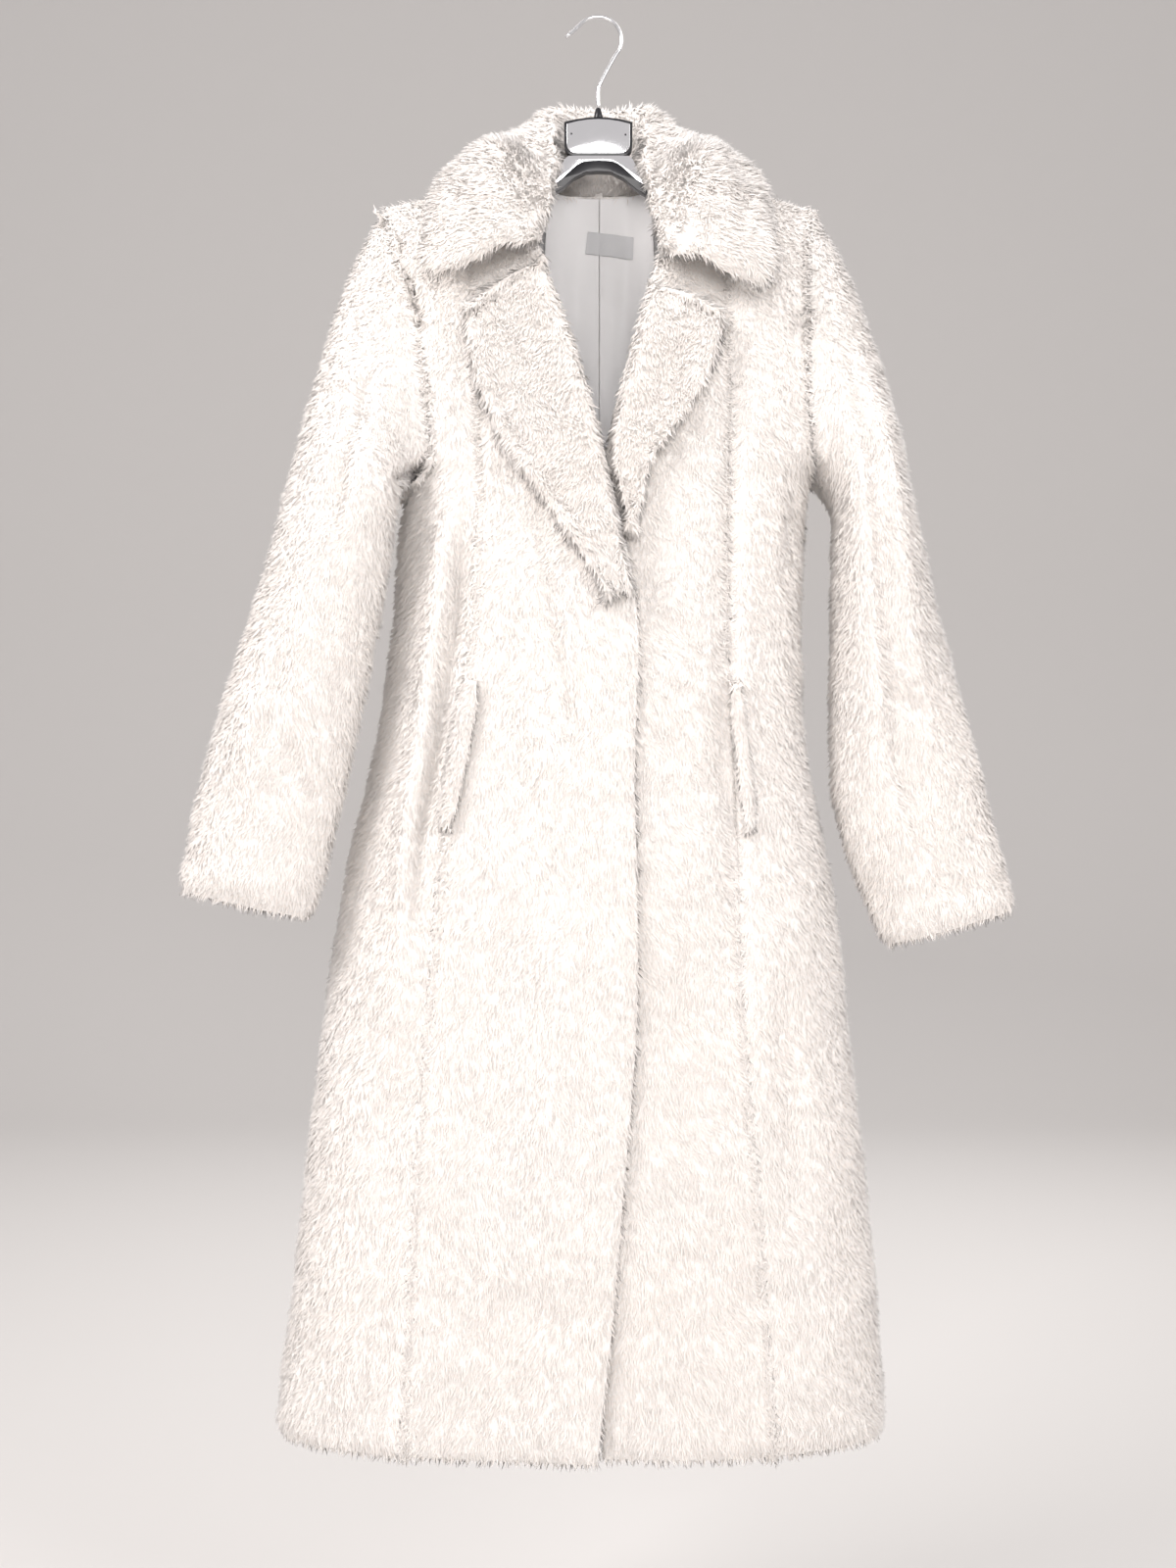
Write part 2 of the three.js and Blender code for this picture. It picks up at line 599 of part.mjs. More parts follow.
// One collar section as five points: the fold is broad, so that stand and fall stay apart
function collarSection(row, sign, drop) {
  const lower = (point) => new THREE.Vector3(sign * point[0], point[1], point[2] - drop);
  const seam = lower(row.seam);
  const fold = lower(row.fold);
  const belly = lower(row.belly);
  const outwards = belly.clone().sub(fold).setZ(0).normalize();
  const shoulder = fold.clone().addScaledVector(outwards, foldWidth);
  return [seam, fold, shoulder, belly, lower(row.edge)];
}

function collar() {
  const mirrored = collarRows.slice(0, -1).reverse();
  const sections = [];
  collarRows.forEach((row) => sections.push(collarSection(row, -1, 0)));
  mirrored.forEach((row, index) => {
    const drop = index === mirrored.length - 1 ? leftGorgeDrop : 0;
    sections.push(collarSection(row, 1, drop));
  });
  const profiles = sections[0].map((unused, index) =>
    new THREE.CatmullRomCurve3(sections.map((section) => section[index]), false, 'catmullrom', 0.5));
  const pointAt = (u, v) => {
    const across = new THREE.CatmullRomCurve3(profiles.map((profile) => profile.getPoint(v)),
      false, 'centripetal');
    return across.getPoint(u);
  };
  const [fallU, backV] = [0.75, 0.5];
  const flip = surfaceNormal(pointAt, fallU, backV, false).y < 0;
  const normalAt = (u, v) => {
    const normal = surfaceNormal(pointAt, u, v, false);
    return flip ? normal.negate() : normal;
  };
  const thicknessAt = (u) =>
    THREE.MathUtils.lerp(collarStandWall, collarWall, THREE.MathUtils.smoothstep(u, standShare, fallShare));
  const across = sharesAcross(grids.collar);
  return clothWall(pointAt, { across, along: sharesAlong(grids.collar), thicknessAt, normalAt });
}

// Lapels: the roll edge, the outer edge, the gorge and notch at the top, and the foot
const lapels = {
  right: {
    inner: [[29, -490], [20, -446], [6, -388], [-5, -343], [-22, -283], [-38, -237], [-45, -213]],
    outer: [[3, -496], [-15, -465], [-49, -415], [-79, -375], [-104, -310], [-111, -268], [-109, -261]],
    top: [[-45, -213], [-78, -232], [-109, -261]],
    foot: [[29, -490], [16, -495], [3, -496]],
  },
  left: {
    inner: [[22, -444], [16, -422], [8, -388], [6, -366], [18, -316], [34, -256], [40, -236]],
    outer: [[26, -441], [38, -412], [41, -390], [60, -362], [87, -320], [103, -277], [101, -260]],
    top: [[40, -236], [66, -243], [101, -260]],
    foot: [[22, -444], [24, -443], [26, -441]],
  },
};
const lapelStandOff = 9;
const standOffAcross = { from: 0.3, to: 1 };
const standOffAlong = { from: 0.1, to: 0.9 };

function flatCurve(points) {
  return new THREE.SplineCurve(points.map(([x, z]) => new THREE.Vector2(x, z)));
}

// A lapel lies on its front, and its outer edge stands off towards the notch
function lapel(side) {
  const { inner, outer, top, foot } = lapels[side];
  const curves = { inner: flatCurve(inner), outer: flatCurve(outer), top: flatCurve(top), foot: flatCurve(foot) };
  const pointAt = (u, v) => {
    const sides = curves.inner.getPoint(v).lerp(curves.outer.getPoint(v), u);
    const ends = curves.foot.getPoint(u).lerp(curves.top.getPoint(u), v);
    const cornersLow = curves.foot.getPoint(0).lerp(curves.foot.getPoint(1), u);
    const cornersHigh = curves.top.getPoint(0).lerp(curves.top.getPoint(1), u);
    const place = sides.add(ends).sub(cornersLow.lerp(cornersHigh, v));
    const lifted = THREE.MathUtils.smoothstep(u, standOffAcross.from, standOffAcross.to)
      * THREE.MathUtils.smoothstep(v, standOffAlong.from, standOffAlong.to);
    const base = frontPanelDepth(side, place.x, place.y);
    return new THREE.Vector3(place.x, base - layClearance - lapelWall - lapelStandOff * lifted, place.y);
  };
  const normalAt = () => new THREE.Vector3(0, -1, 0);
  const across = sharesAcross(grids.lapel);
  return clothWall(pointAt, { across, along: sharesAlong(grids.lapel), thickness: lapelWall, normalAt });
}

// Pocket welts: strips laid on the front along the panel seam, a little wider at the foot
const welts = {
  right: { top: [-103, -556], foot: [-126, -676], width: 21, clearance: 1.9 },
  left: { top: [107, -556], foot: [120, -678], width: 17, clearance: 0.8 },
};
const weltEndWidth = 0.55;
const weltEndSpread = 6;

function pocketWelt(side) {
  const { top, foot, width, clearance } = welts[side];
  const run = new THREE.Vector2(top[0] - foot[0], top[1] - foot[1]).normalize();
  const pointAt = (u, v) => {
    const roundEnd = Math.min(1, weltEndWidth + weltEndSpread * Math.min(v, 1 - v));
    const offset = (u - 0.5) * width * roundEnd;
    const x = THREE.MathUtils.lerp(foot[0], top[0], v) + run.y * offset;
    const z = THREE.MathUtils.lerp(foot[1], top[1], v) - run.x * offset;
    return new THREE.Vector3(x, frontPanelDepth(side, x, z) - clearance - weltWall, z);
  };
  const normalAt = () => new THREE.Vector3(0, -1, 0);
  const across = sharesAcross(grids.welt);
  return clothWall(pointAt, { across, along: sharesAlong(grids.welt), thickness: weltWall, normalAt });
}

// Satin lining of the back, where it shows in the neck, in two halves that follow the back's rows
const liningHalfWidth = 52;
const liningTop = 0.95;
function liningPanel(side) {
  const sign = side === 'right' ? -1 : 1;
  const outerAt = (u, v) => {
    const x = sign * THREE.MathUtils.lerp(liningHalfWidth, seamGap / 2, u);
    const z = riseTo(backNeckline(x), v * liningTop);
    return new THREE.Vector3(x, backDepth(x, z), z);
  };
  const normalAt = (u, v) => {
    const point = outerAt(u, v);
    const normal = fieldNormal(backDepth, point.x, point.z, 1);
    return u === 1 ? normal.setX(0).normalize() : normal;
  };
  const innerAt = (u, v) => outerAt(u, v).addScaledVector(normalAt(u, v), -furWall - liningClearance);
  const across = sharesAcross(grids.lining);
  return clothWall(innerAt, { across, along: sharesAlong(grids.lining), thickness: liningWall, normalAt });
}

// Label: a small strip on the lining, tilted as sewn
const label = { x: 11, z: -174, width: 46, height: 19, tilt: -6 };
function neckLabel() {
  const tilt = THREE.MathUtils.degToRad(label.tilt);
  const inside = furWall + liningClearance + liningWall + layClearance;
  const pointAt = (u, v) => {
    const across = (u - 0.5) * label.width;
    const up = (v - 0.5) * label.height;
    const x = label.x + across * Math.cos(tilt) - up * Math.sin(tilt);
    const z = label.z + across * Math.sin(tilt) + up * Math.cos(tilt);
    const place = (placeX, placeZ) => new THREE.Vector3(placeX, backDepth(placeX, placeZ), placeZ);
    const normal = place(x + 1, z).sub(place(x - 1, z)).cross(place(x, z + 1).sub(place(x, z - 1))).normalize();
    if (normal.y < 0) normal.negate();
    return place(x, z).addScaledVector(normal, -inside);
  };
  const normalAt = () => new THREE.Vector3(0, 1, 0);
  const across = sharesAcross(grids.label);
  return clothWall(pointAt, { across, along: sharesAlong(grids.label), thickness: labelWall, normalAt });
}

// Hanger
const wireRadius = 1.5;
const hangerMiddle = -1.2;
const hook = {
  bendX: -1.6, bendRadius: 19.7, tip: [-28, -16], startTurn: 142, endTurn: -42,
  neckOut: 2, neckHigh: -54, neckLow: -59, foot: -75.5,
};
const ferrule = { top: -75.8, foot: -84, topRadius: 2.4, footRadius: 4.2 };
const frame = { top: -83.3, foot: -117, halfWidth: 28.5, corner: 11, front: -5, back: 5, cornerDrop: 5, crown: 3 };
const plateInset = 2.2;
const plateWall = 1.2;
const outlineSteps = 6;
const shellFront = -7;
const bodyDepth = 4.5;
const armEnd = 166;
const armClear = 2.1;
const shellEnd = 50;

function hangerHook() {
  const bendZ = wireRadius - hook.bendRadius;
  const points = [new THREE.Vector3(hook.tip[0], 0, hook.tip[1])];
  const steps = 12;
  for (let step = 0; step <= steps; step += 1) {
    const turn = THREE.MathUtils.degToRad(THREE.MathUtils.lerp(hook.startTurn, hook.endTurn, step / steps));
    points.push(new THREE.Vector3(
      hook.bendX + hook.bendRadius * Math.cos(turn), 0, bendZ + hook.bendRadius * Math.sin(turn)));
  }
  points.push(new THREE.Vector3(hangerMiddle + hook.neckOut, 0, hook.neckHigh));
  points.push(new THREE.Vector3(hangerMiddle, 0, hook.neckLow));
  points.push(new THREE.Vector3(hangerMiddle, 0, hook.foot));
  const path = new THREE.CatmullRomCurve3(points, false, 'centripetal');
  const section = new THREE.Shape().absarc(0, 0, wireRadius, 0, 2 * Math.PI);
  const wireSteps = { steps: 36, curveSegments: 4, extrudePath: path };
  return new THREE.ExtrudeGeometry(section, wireSteps);
}

function hangerFerrule() {
  const profile = [
    new THREE.Vector2(0, ferrule.foot), new THREE.Vector2(ferrule.footRadius, ferrule.foot),
    new THREE.Vector2(ferrule.topRadius, ferrule.top), new THREE.Vector2(0, ferrule.top),
  ];
  const geometry = new THREE.LatheGeometry(profile, 12);
  geometry.rotateX(Math.PI / 2);
  geometry.translate(hangerMiddle, 0, 0);
  return geometry;
}

// Flat outlines are drawn in the front view and given their depth along Y
function depthFrom(shape, front, back) {
  const settings = { depth: back - front, bevelEnabled: false, curveSegments: outlineSteps };
  const geometry = new THREE.ExtrudeGeometry(shape, settings);
  geometry.rotateX(Math.PI / 2);
  geometry.translate(0, back, 0);
  return geometry;
}

function roundedPlate(inset) {
  const halfWidth = frame.halfWidth - inset;
  const top = frame.top - inset;
  const foot = frame.foot + inset;
  const corner = frame.corner - inset;
  const shape = new THREE.Shape();
  shape.moveTo(hangerMiddle - halfWidth + corner, foot);
  shape.lineTo(hangerMiddle + halfWidth - corner, foot);
  shape.quadraticCurveTo(hangerMiddle + halfWidth, foot, hangerMiddle + halfWidth, foot + corner);
  shape.lineTo(hangerMiddle + halfWidth, top - frame.cornerDrop);
  shape.quadraticCurveTo(
    hangerMiddle, top + frame.crown, hangerMiddle - halfWidth, top - frame.cornerDrop);
  shape.lineTo(hangerMiddle - halfWidth, foot + corner);
  shape.quadraticCurveTo(hangerMiddle - halfWidth, foot, hangerMiddle - halfWidth + corner, foot);
  return shape;
}

// Lower and upper line of the hanger's arms, and of the bright shell in front of them
const hangerRows = [
  { x: 0, foot: -129, shellFoot: -121 }, { x: 15, foot: -131, shellFoot: -123 },
  { x: 36, foot: -147, shellFoot: -140 }, { x: 60, foot: -156, shellFoot: -148 },
  { x: 120, foot: -168, shellFoot: -158 }, { x: 168, foot: -176, shellFoot: -166 },
];
const bridgeHalfWidth = 25;
const bridgeFall = 38;

function armTop(x) {
  const carried = shoulderHeight(x) - furWall - armClear;
  if (x >= bridgeFall) return carried;
  const share = THREE.MathUtils.smoothstep(x, bridgeHalfWidth, bridgeFall);
  return THREE.MathUtils.lerp(frame.foot - seamGap, carried, share);
}

function hangerOutline(end, footColumn) {
  const shape = new THREE.Shape();
  const steps = 16;
  const share = (step) => end * step / steps;
  const upper = [];
  const lower = [];
  for (let step = -steps; step <= steps; step += 1) {
    const x = share(Math.abs(step));
    const side = Math.sign(step) || 1;
    upper.push([hangerMiddle * (1 - x / armEnd) + side * x, armTop(x)]);
    lower.push([hangerMiddle * (1 - x / armEnd) + side * x, readTable(hangerRows, 'x', x, footColumn)]);
  }
  const round = [...upper, ...lower.reverse()];
  round.forEach(([x, z], index) => (index ? shape.lineTo(x, z) : shape.moveTo(x, z)));
  shape.closePath();
  return shape;
}

function addPiece(group, name, geometry, material) {
  const mesh = new THREE.Mesh(geometry, material);
  mesh.name = name;
  group.add(mesh);
}

const coat = new THREE.Group();
for (const side of ['right', 'left']) {
  addPiece(coat, `front_centre_${side}`, frontPanel(side, 'centre'), fur);
  addPiece(coat, `front_side_${side}`, frontPanel(side, 'side'), fur);
  addPiece(coat, `back_${side}`, backPanel(side), fur);
  addPiece(coat, `sleeve_${side}`, sleeve(side), fur);
  addPiece(coat, `lapel_${side}`, lapel(side), fur);
  addPiece(coat, `pocket_welt_${side}`, pocketWelt(side), fur);
  addPiece(coat, `lining_${side}`, liningPanel(side), satin);
}
addPiece(coat, 'collar', collar(), fur);
addPiece(coat, 'neck_label', neckLabel(), labelCloth);

const hanger = new THREE.Group();
addPiece(hanger, 'hanger_hook', hangerHook(), chromeWire);
addPiece(hanger, 'hanger_ferrule', hangerFerrule(), blackPlastic);
addPiece(hanger, 'hanger_frame', depthFrom(roundedPlate(0), frame.front, frame.back), blackPlastic);
addPiece(hanger, 'hanger_plate',
  depthFrom(roundedPlate(plateInset), frame.front - seamGap - plateWall, frame.front - seamGap), brightPlate);
addPiece(hanger, 'hanger_shell',
  depthFrom(hangerOutline(shellEnd, 'shellFoot'), shellFront, -bodyDepth - seamGap), brightPlate);
addPiece(hanger, 'hanger_body',
  depthFrom(hangerOutline(armEnd, 'foot'), -bodyDepth, bodyDepth), blackPlastic);

const coatOnHanger = new THREE.Group();
coatOnHanger.add(coat, hanger);
export default coatOnHanger;
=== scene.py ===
import math

import bmesh
import bpy
import numpy as np
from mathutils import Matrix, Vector
from mathutils.bvhtree import BVHTree
from mathutils.kdtree import KDTree


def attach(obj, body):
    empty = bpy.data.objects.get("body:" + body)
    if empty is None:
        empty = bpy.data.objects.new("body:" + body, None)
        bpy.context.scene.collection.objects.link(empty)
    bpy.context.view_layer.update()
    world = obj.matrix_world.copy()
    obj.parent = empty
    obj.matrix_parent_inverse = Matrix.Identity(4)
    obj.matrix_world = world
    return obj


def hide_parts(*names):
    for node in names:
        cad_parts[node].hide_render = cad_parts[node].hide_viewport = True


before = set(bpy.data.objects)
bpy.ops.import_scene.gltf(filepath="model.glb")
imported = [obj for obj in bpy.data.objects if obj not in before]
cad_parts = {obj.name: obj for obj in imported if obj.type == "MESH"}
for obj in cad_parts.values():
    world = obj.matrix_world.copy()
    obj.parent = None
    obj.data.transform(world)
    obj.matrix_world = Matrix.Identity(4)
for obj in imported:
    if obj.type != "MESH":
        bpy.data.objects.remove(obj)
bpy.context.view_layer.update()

mm = 0.001
fullTurn = 2 * math.pi
print("frame loaded:", len(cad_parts), "nodes")


# Small helpers that every piece uses

def deselectAll():
    for thing in bpy.context.selected_objects:
        thing.select_set(False)


def makeActive(piece):
    deselectAll()
    piece.select_set(True)
    bpy.context.view_layer.objects.active = piece


def applyModifier(piece, kind, settings):
    makeActive(piece)
    modifier = piece.modifiers.new(kind.title(), kind)
    for key, value in settings.items():
        setattr(modifier, key, value)
    bpy.ops.object.modifier_apply(modifier=modifier.name)


def smoothShade(piece, degrees):
    makeActive(piece)
    bpy.ops.object.shade_smooth_by_angle(angle=math.radians(degrees))


def keepInPlace(piece):
    makeActive(piece)
    bpy.ops.object.transform_apply(location=True, rotation=True, scale=True)


def easeStep(values, low, high):
    share = np.clip((values - low) / (high - low), 0, 1)
    return share * share * (3 - 2 * share)


waves = {"count": 7, "shortest": 0.7, "longest": 1.5}  # shares of the wave length that is asked for


# Smooth wandering value, mostly between -1 and 1, made of a few long waves
def softNoise(points, waveLength, seed):
    source = np.random.default_rng(seed)
    total = np.zeros(len(points))
    for _ in range(waves["count"]):
        direction = source.normal(size=3)
        direction /= np.linalg.norm(direction)
        turn = fullTurn / (waveLength * source.uniform(waves["shortest"], waves["longest"]))
        total += np.sin(points @ direction * turn + source.uniform(0, fullTurn))
    return total / math.sqrt(waves["count"])


def unitRows(vectors):
    lengths = np.linalg.norm(vectors, axis=1, keepdims=True)
    return vectors / np.maximum(lengths, 1e-9)


# Camera, lights and studio

# The camera looks straight ahead at the middle of the coat, from 1.5 m away
view = {"place": (-9.8 * mm, -1.5, -0.64), "lens": 41.2, "sensor": 36.0, "tilt": 90}


def addCamera():
    bpy.ops.object.camera_add(location=view["place"], rotation=(math.radians(view["tilt"]), 0, 0))
    camera = bpy.context.object
    camera.data.lens = view["lens"]
    camera.data.sensor_width = view["sensor"]
    bpy.context.scene.camera = camera


softLights = {
    "key": {"place": (-2.1, -1.8, 1.3), "aim": (0, 0, -0.6), "size": 1.2, "watts": 77,
            "colour": (1.0, 0.955, 0.94)},
    "fill": {"place": (1.9, -1.9, 0.7), "aim": (0, 0, -0.7), "size": 1.8, "watts": 39,
             "colour": (1.0, 0.97, 0.965)},
    "front": {"place": (0, -2.9, -0.1), "aim": (0, 0, -0.45), "size": 1.0, "watts": 30,
              "colour": (1.0, 0.97, 0.96)},
    "rim": {"place": (0.4, 1.9, 1.1), "aim": (0, 0, -0.5), "size": 1.8, "watts": 40,
            "colour": (1.0, 0.98, 0.97)},
}
room = {"colour": (1.0, 0.955, 0.945, 1), "strength": 0.63, "display": "Standard"}


def addLights():
    for name, light in softLights.items():
        direction = Vector(light["aim"]) - Vector(light["place"])
        bpy.ops.object.light_add(type="AREA", location=light["place"])
        lamp = bpy.context.object
        lamp.name = name + "Light"
        lamp.rotation_euler = direction.to_track_quat("-Z", "Y").to_euler()
        lamp.data.size = light["size"]
        lamp.data.energy = light["watts"]
        lamp.data.color = light["colour"]
    world = bpy.data.worlds.new("softRoom")
    world.use_nodes = True
    background = world.node_tree.nodes["Background"]
    background.inputs["Color"].default_value = room["colour"]
    background.inputs["Strength"].default_value = room["strength"]
    bpy.context.scene.world = world
    bpy.context.scene.view_settings.view_transform = room["display"]


studio = {
    "floorHeight": -1.46,
    "halfWidth": 5.0,
    "front": -5.0,
    "back": 4.2,
    "wallHeight": 5.0,
    "sweep": 1.4,  # radius of the bend from floor to backdrop
    "sweepSteps": 16,
    "slack": 0.01,
    "roughness": 0.9,
    "paint": (0.62, 0.61, 0.60),
}


def selectEdges(piece, wanted):
    bpy.ops.mesh.select_all(action="DESELECT")
    form = bmesh.from_edit_mesh(piece.data)
    for edge in form.edges:
        if all(wanted(corner.co) for corner in edge.verts):
            edge.select_set(True)
    bmesh.update_edit_mesh(piece.data)


# Pale floor that sweeps up into a plain backdrop, well behind the coat
def addStudio():
    deselectAll()
    middle = (studio["front"] + studio["back"]) / 2
    bpy.ops.mesh.primitive_plane_add(size=1, location=(0, middle, studio["floorHeight"]))
    floor = bpy.context.object
    floor.name = "studioFloor"
    floor.scale = (2 * studio["halfWidth"], studio["back"] - studio["front"], 1)
    keepInPlace(floor)
    nearBack = studio["back"] - studio["slack"]
    nearFloor = studio["floorHeight"] + studio["slack"]
    bpy.ops.object.mode_set(mode="EDIT")
    bpy.ops.mesh.select_mode(type="EDGE")
    selectEdges(floor, lambda place: place.y > nearBack)
    bpy.ops.mesh.extrude_region_move(TRANSFORM_OT_translate={"value": (0, 0, studio["wallHeight"])})
    selectEdges(floor, lambda place: place.y > nearBack and place.z < nearFloor)
    bpy.ops.mesh.bevel(offset=studio["sweep"], segments=studio["sweepSteps"], affect="EDGES")
    bpy.ops.object.mode_set(mode="OBJECT")
    smoothShade(floor, 40)
    floor.data.materials.append(studioPaint())


# Materials

def startMaterial(name, roughness, colour=None):
    material = bpy.data.materials.new(name)
    material.use_nodes = True
    surface = material.node_tree.nodes["Principled BSDF"]
    surface.inputs["Roughness"].default_value = roughness
    if colour:
        surface.inputs["Base Color"].default_value = (*colour, 1)
    return material, material.node_tree.nodes, material.node_tree.links, surface


def studioPaint():
    return startMaterial("studioPaint", studio["roughness"], studio["paint"])[0]


def addNode(nodes, kind, settings=None, **inputs):
    node = nodes.new(kind)
    for key, value in (settings or {}).items():
        setattr(node, key, value)
    for key, value in inputs.items():
        node.inputs[key.replace("_", " ")].default_value = value
    return node


def blendColours(nodes, links, share, low, high):
    ramp = addNode(nodes, "ShaderNodeValToRGB")
    ramp.color_ramp.elements[0].color = (*low, 1)
    ramp.color_ramp.elements[1].color = (*high, 1)
    links.new(share, ramp.inputs["Fac"])
    return ramp


def addBump(nodes, links, surface, height, strength, distance):
    bump = addNode(nodes, "ShaderNodeBump", None, Strength=strength, Distance=distance)
    links.new(height, bump.inputs["Height"])
    links.new(bump.outputs["Normal"], surface.inputs["Normal"])
    return bump


furLook = {
    # root: painted shade deep in the pile, darker and warmer than the tip
    "root": (0.90, 0.845, 0.795),
    "tip": (0.965, 0.95, 0.935),
    "patchLow": (0.975, 0.95, 0.925),
    "patchHigh": (1.0, 1.0, 1.0),
    "patches": {"Scale": 9.0, "Detail": 3.0, "Roughness": 0.6},
    "roughness": 0.82,
    "sheen": 0.35,
    "sheenRoughness": 0.6,
    "specular": 0.2,
}


# Pile: warmer and darker at the root than at the tip, which is painted shade deep in the pile, with broad soft
# patches of random tone
def pileMaterial():
    material, nodes, links, surface = startMaterial("plushPile", furLook["roughness"])
    height = addNode(nodes, "ShaderNodeAttribute", {"attribute_name": "pileShadeAndTone"})
    tone = blendColours(nodes, links, height.outputs["Fac"], furLook["root"], furLook["tip"])
    place = addNode(nodes, "ShaderNodeTexCoord")
    patches = addNode(nodes, "ShaderNodeTexNoise", None, **furLook["patches"])
    links.new(place.outputs["Object"], patches.inputs["Vector"])
    patchTone = blendColours(nodes, links, patches.outputs["Fac"], furLook["patchLow"], furLook["patchHigh"])
    mix = addNode(nodes, "ShaderNodeMix", {"data_type": "RGBA", "blend_type": "MULTIPLY"})
    mix.inputs["Factor"].default_value = 1
    links.new(tone.outputs["Color"], mix.inputs["A"])
    links.new(patchTone.outputs["Color"], mix.inputs["B"])
    links.new(mix.outputs["Result"], surface.inputs["Base Color"])
    surface.inputs["Sheen Weight"].default_value = furLook["sheen"]
    surface.inputs["Sheen Roughness"].default_value = furLook["sheenRoughness"]
    surface.inputs["Specular IOR Level"].default_value = furLook["specular"]
    return material


backingLook = {
    # dark: painted shade in the gaps between the strands; light: the backing's own ivory
    "dark": (0.90, 0.86, 0.815),
    "light": (0.97, 0.95, 0.93),
    "roots": {"Scale": 520.0, "Detail": 4.0, "Roughness": 0.7},
    "roughness": 0.95,
    "bump": 0.6,
    "bumpDepth": 2 * mm,
    "sheen": 0.3,
    "specular": 0.15,
}


# Backing under the pile, seen only between the strands. Its darker warm speckle, darkest where its bump sinks,
# is painted shade in the gaps between the strands
def backingMaterial():
    material, nodes, links, surface = startMaterial("furBacking", backingLook["roughness"])
    place = addNode(nodes, "ShaderNodeTexCoord")
    roots = addNode(nodes, "ShaderNodeTexNoise", None, **backingLook["roots"])
    links.new(place.outputs["Object"], roots.inputs["Vector"])
    tone = blendColours(nodes, links, roots.outputs["Fac"], backingLook["dark"], backingLook["light"])
    links.new(tone.outputs["Color"], surface.inputs["Base Color"])
    addBump(nodes, links, surface, roots.outputs["Fac"], backingLook["bump"], backingLook["bumpDepth"])
    surface.inputs["Sheen Weight"].default_value = backingLook["sheen"]
    surface.inputs["Specular IOR Level"].default_value = backingLook["specular"]
    return material


satins = {
    "satin": {"name": "liningSatin", "dark": (0.95, 0.945, 0.95), "light": (0.99, 0.985, 0.985),
              "threads": 900},
    "label": {"name": "labelSatin", "dark": (0.62, 0.625, 0.64), "light": (0.74, 0.745, 0.755),
              "threads": 1400},
}
satinLook = {
    "roughness": 0.36,
    "twillTurn": 32,
    "twillWander": 0.4,
    "twillShare": 0.12,
    "puckers": {"Scale": 38.0, "Detail": 2.0},
    "bump": 0.35,
    "bumpDepth": 1 * mm,
    "sheen": 0.25,
    "stretch": 0.4,
}


# Satin: a fine twill under a soft sheen, with faint puckers
def satinMaterial(name, dark, light, threads):
    material, nodes, links, surface = startMaterial(name, satinLook["roughness"])
    place = addNode(nodes, "ShaderNodeTexCoord")
    turned = addNode(nodes, "ShaderNodeMapping")
    turned.inputs["Rotation"].default_value = (0, math.radians(satinLook["twillTurn"]), 0)
    links.new(place.outputs["Object"], turned.inputs["Vector"])
    bands = {"Scale": threads, "Distortion": satinLook["twillWander"]}
    twill = addNode(nodes, "ShaderNodeTexWave", {"bands_direction": "X"}, **bands)
    links.new(turned.outputs["Vector"], twill.inputs["Vector"])
    puckers = addNode(nodes, "ShaderNodeTexNoise", None, **satinLook["puckers"])
    links.new(place.outputs["Object"], puckers.inputs["Vector"])
    tone = blendColours(nodes, links, puckers.outputs["Fac"], dark, light)
    links.new(tone.outputs["Color"], surface.inputs["Base Color"])
    height = addNode(nodes, "ShaderNodeMath", {"operation": "MULTIPLY_ADD"})
    height.inputs[1].default_value = satinLook["twillShare"]
    links.new(twill.outputs["Fac"], height.inputs[0])
    links.new(puckers.outputs["Fac"], height.inputs[2])
    addBump(nodes, links, surface, height.outputs["Value"], satinLook["bump"], satinLook["bumpDepth"])
    surface.inputs["Sheen Weight"].default_value = satinLook["sheen"]
    surface.inputs["Anisotropic"].default_value = satinLook["stretch"]
    return material


# Fur panels. Each is a thin shell on its solid's form, sunk by the height of its pile

cloth = {
    "mergeWithin": 0.01 * mm,
    "rimAngle": math.radians(60),  # edges that turn more than this end a layer
    "largeShare": 0.25,  # share of the whole skin from which a layer counts as large
    "thickest": 17 * mm,  # no wall is thicker
    "quadTurn": math.radians(60),
    "quadSkew": math.radians(80),
    "rounds": 2,  # levels of subdivision
    "longestEdge": 18 * mm,
    "shellWall": 2.4 * mm,
    "seamWithin": 4 * mm,  # cut edges that lie closer than this are sewn
    "edgeStep": 2.5 * mm,
    "rimHeight": 3.96 * mm,  # of the solids' walls of 9 mm
    "rimSlack": 0.03 * mm,
    "edgeDrop": 2.52 * mm,  # how far the solids' rounded edges fall
    "turnedIn": 12 * mm,
    "shadeAngle": 75,
}

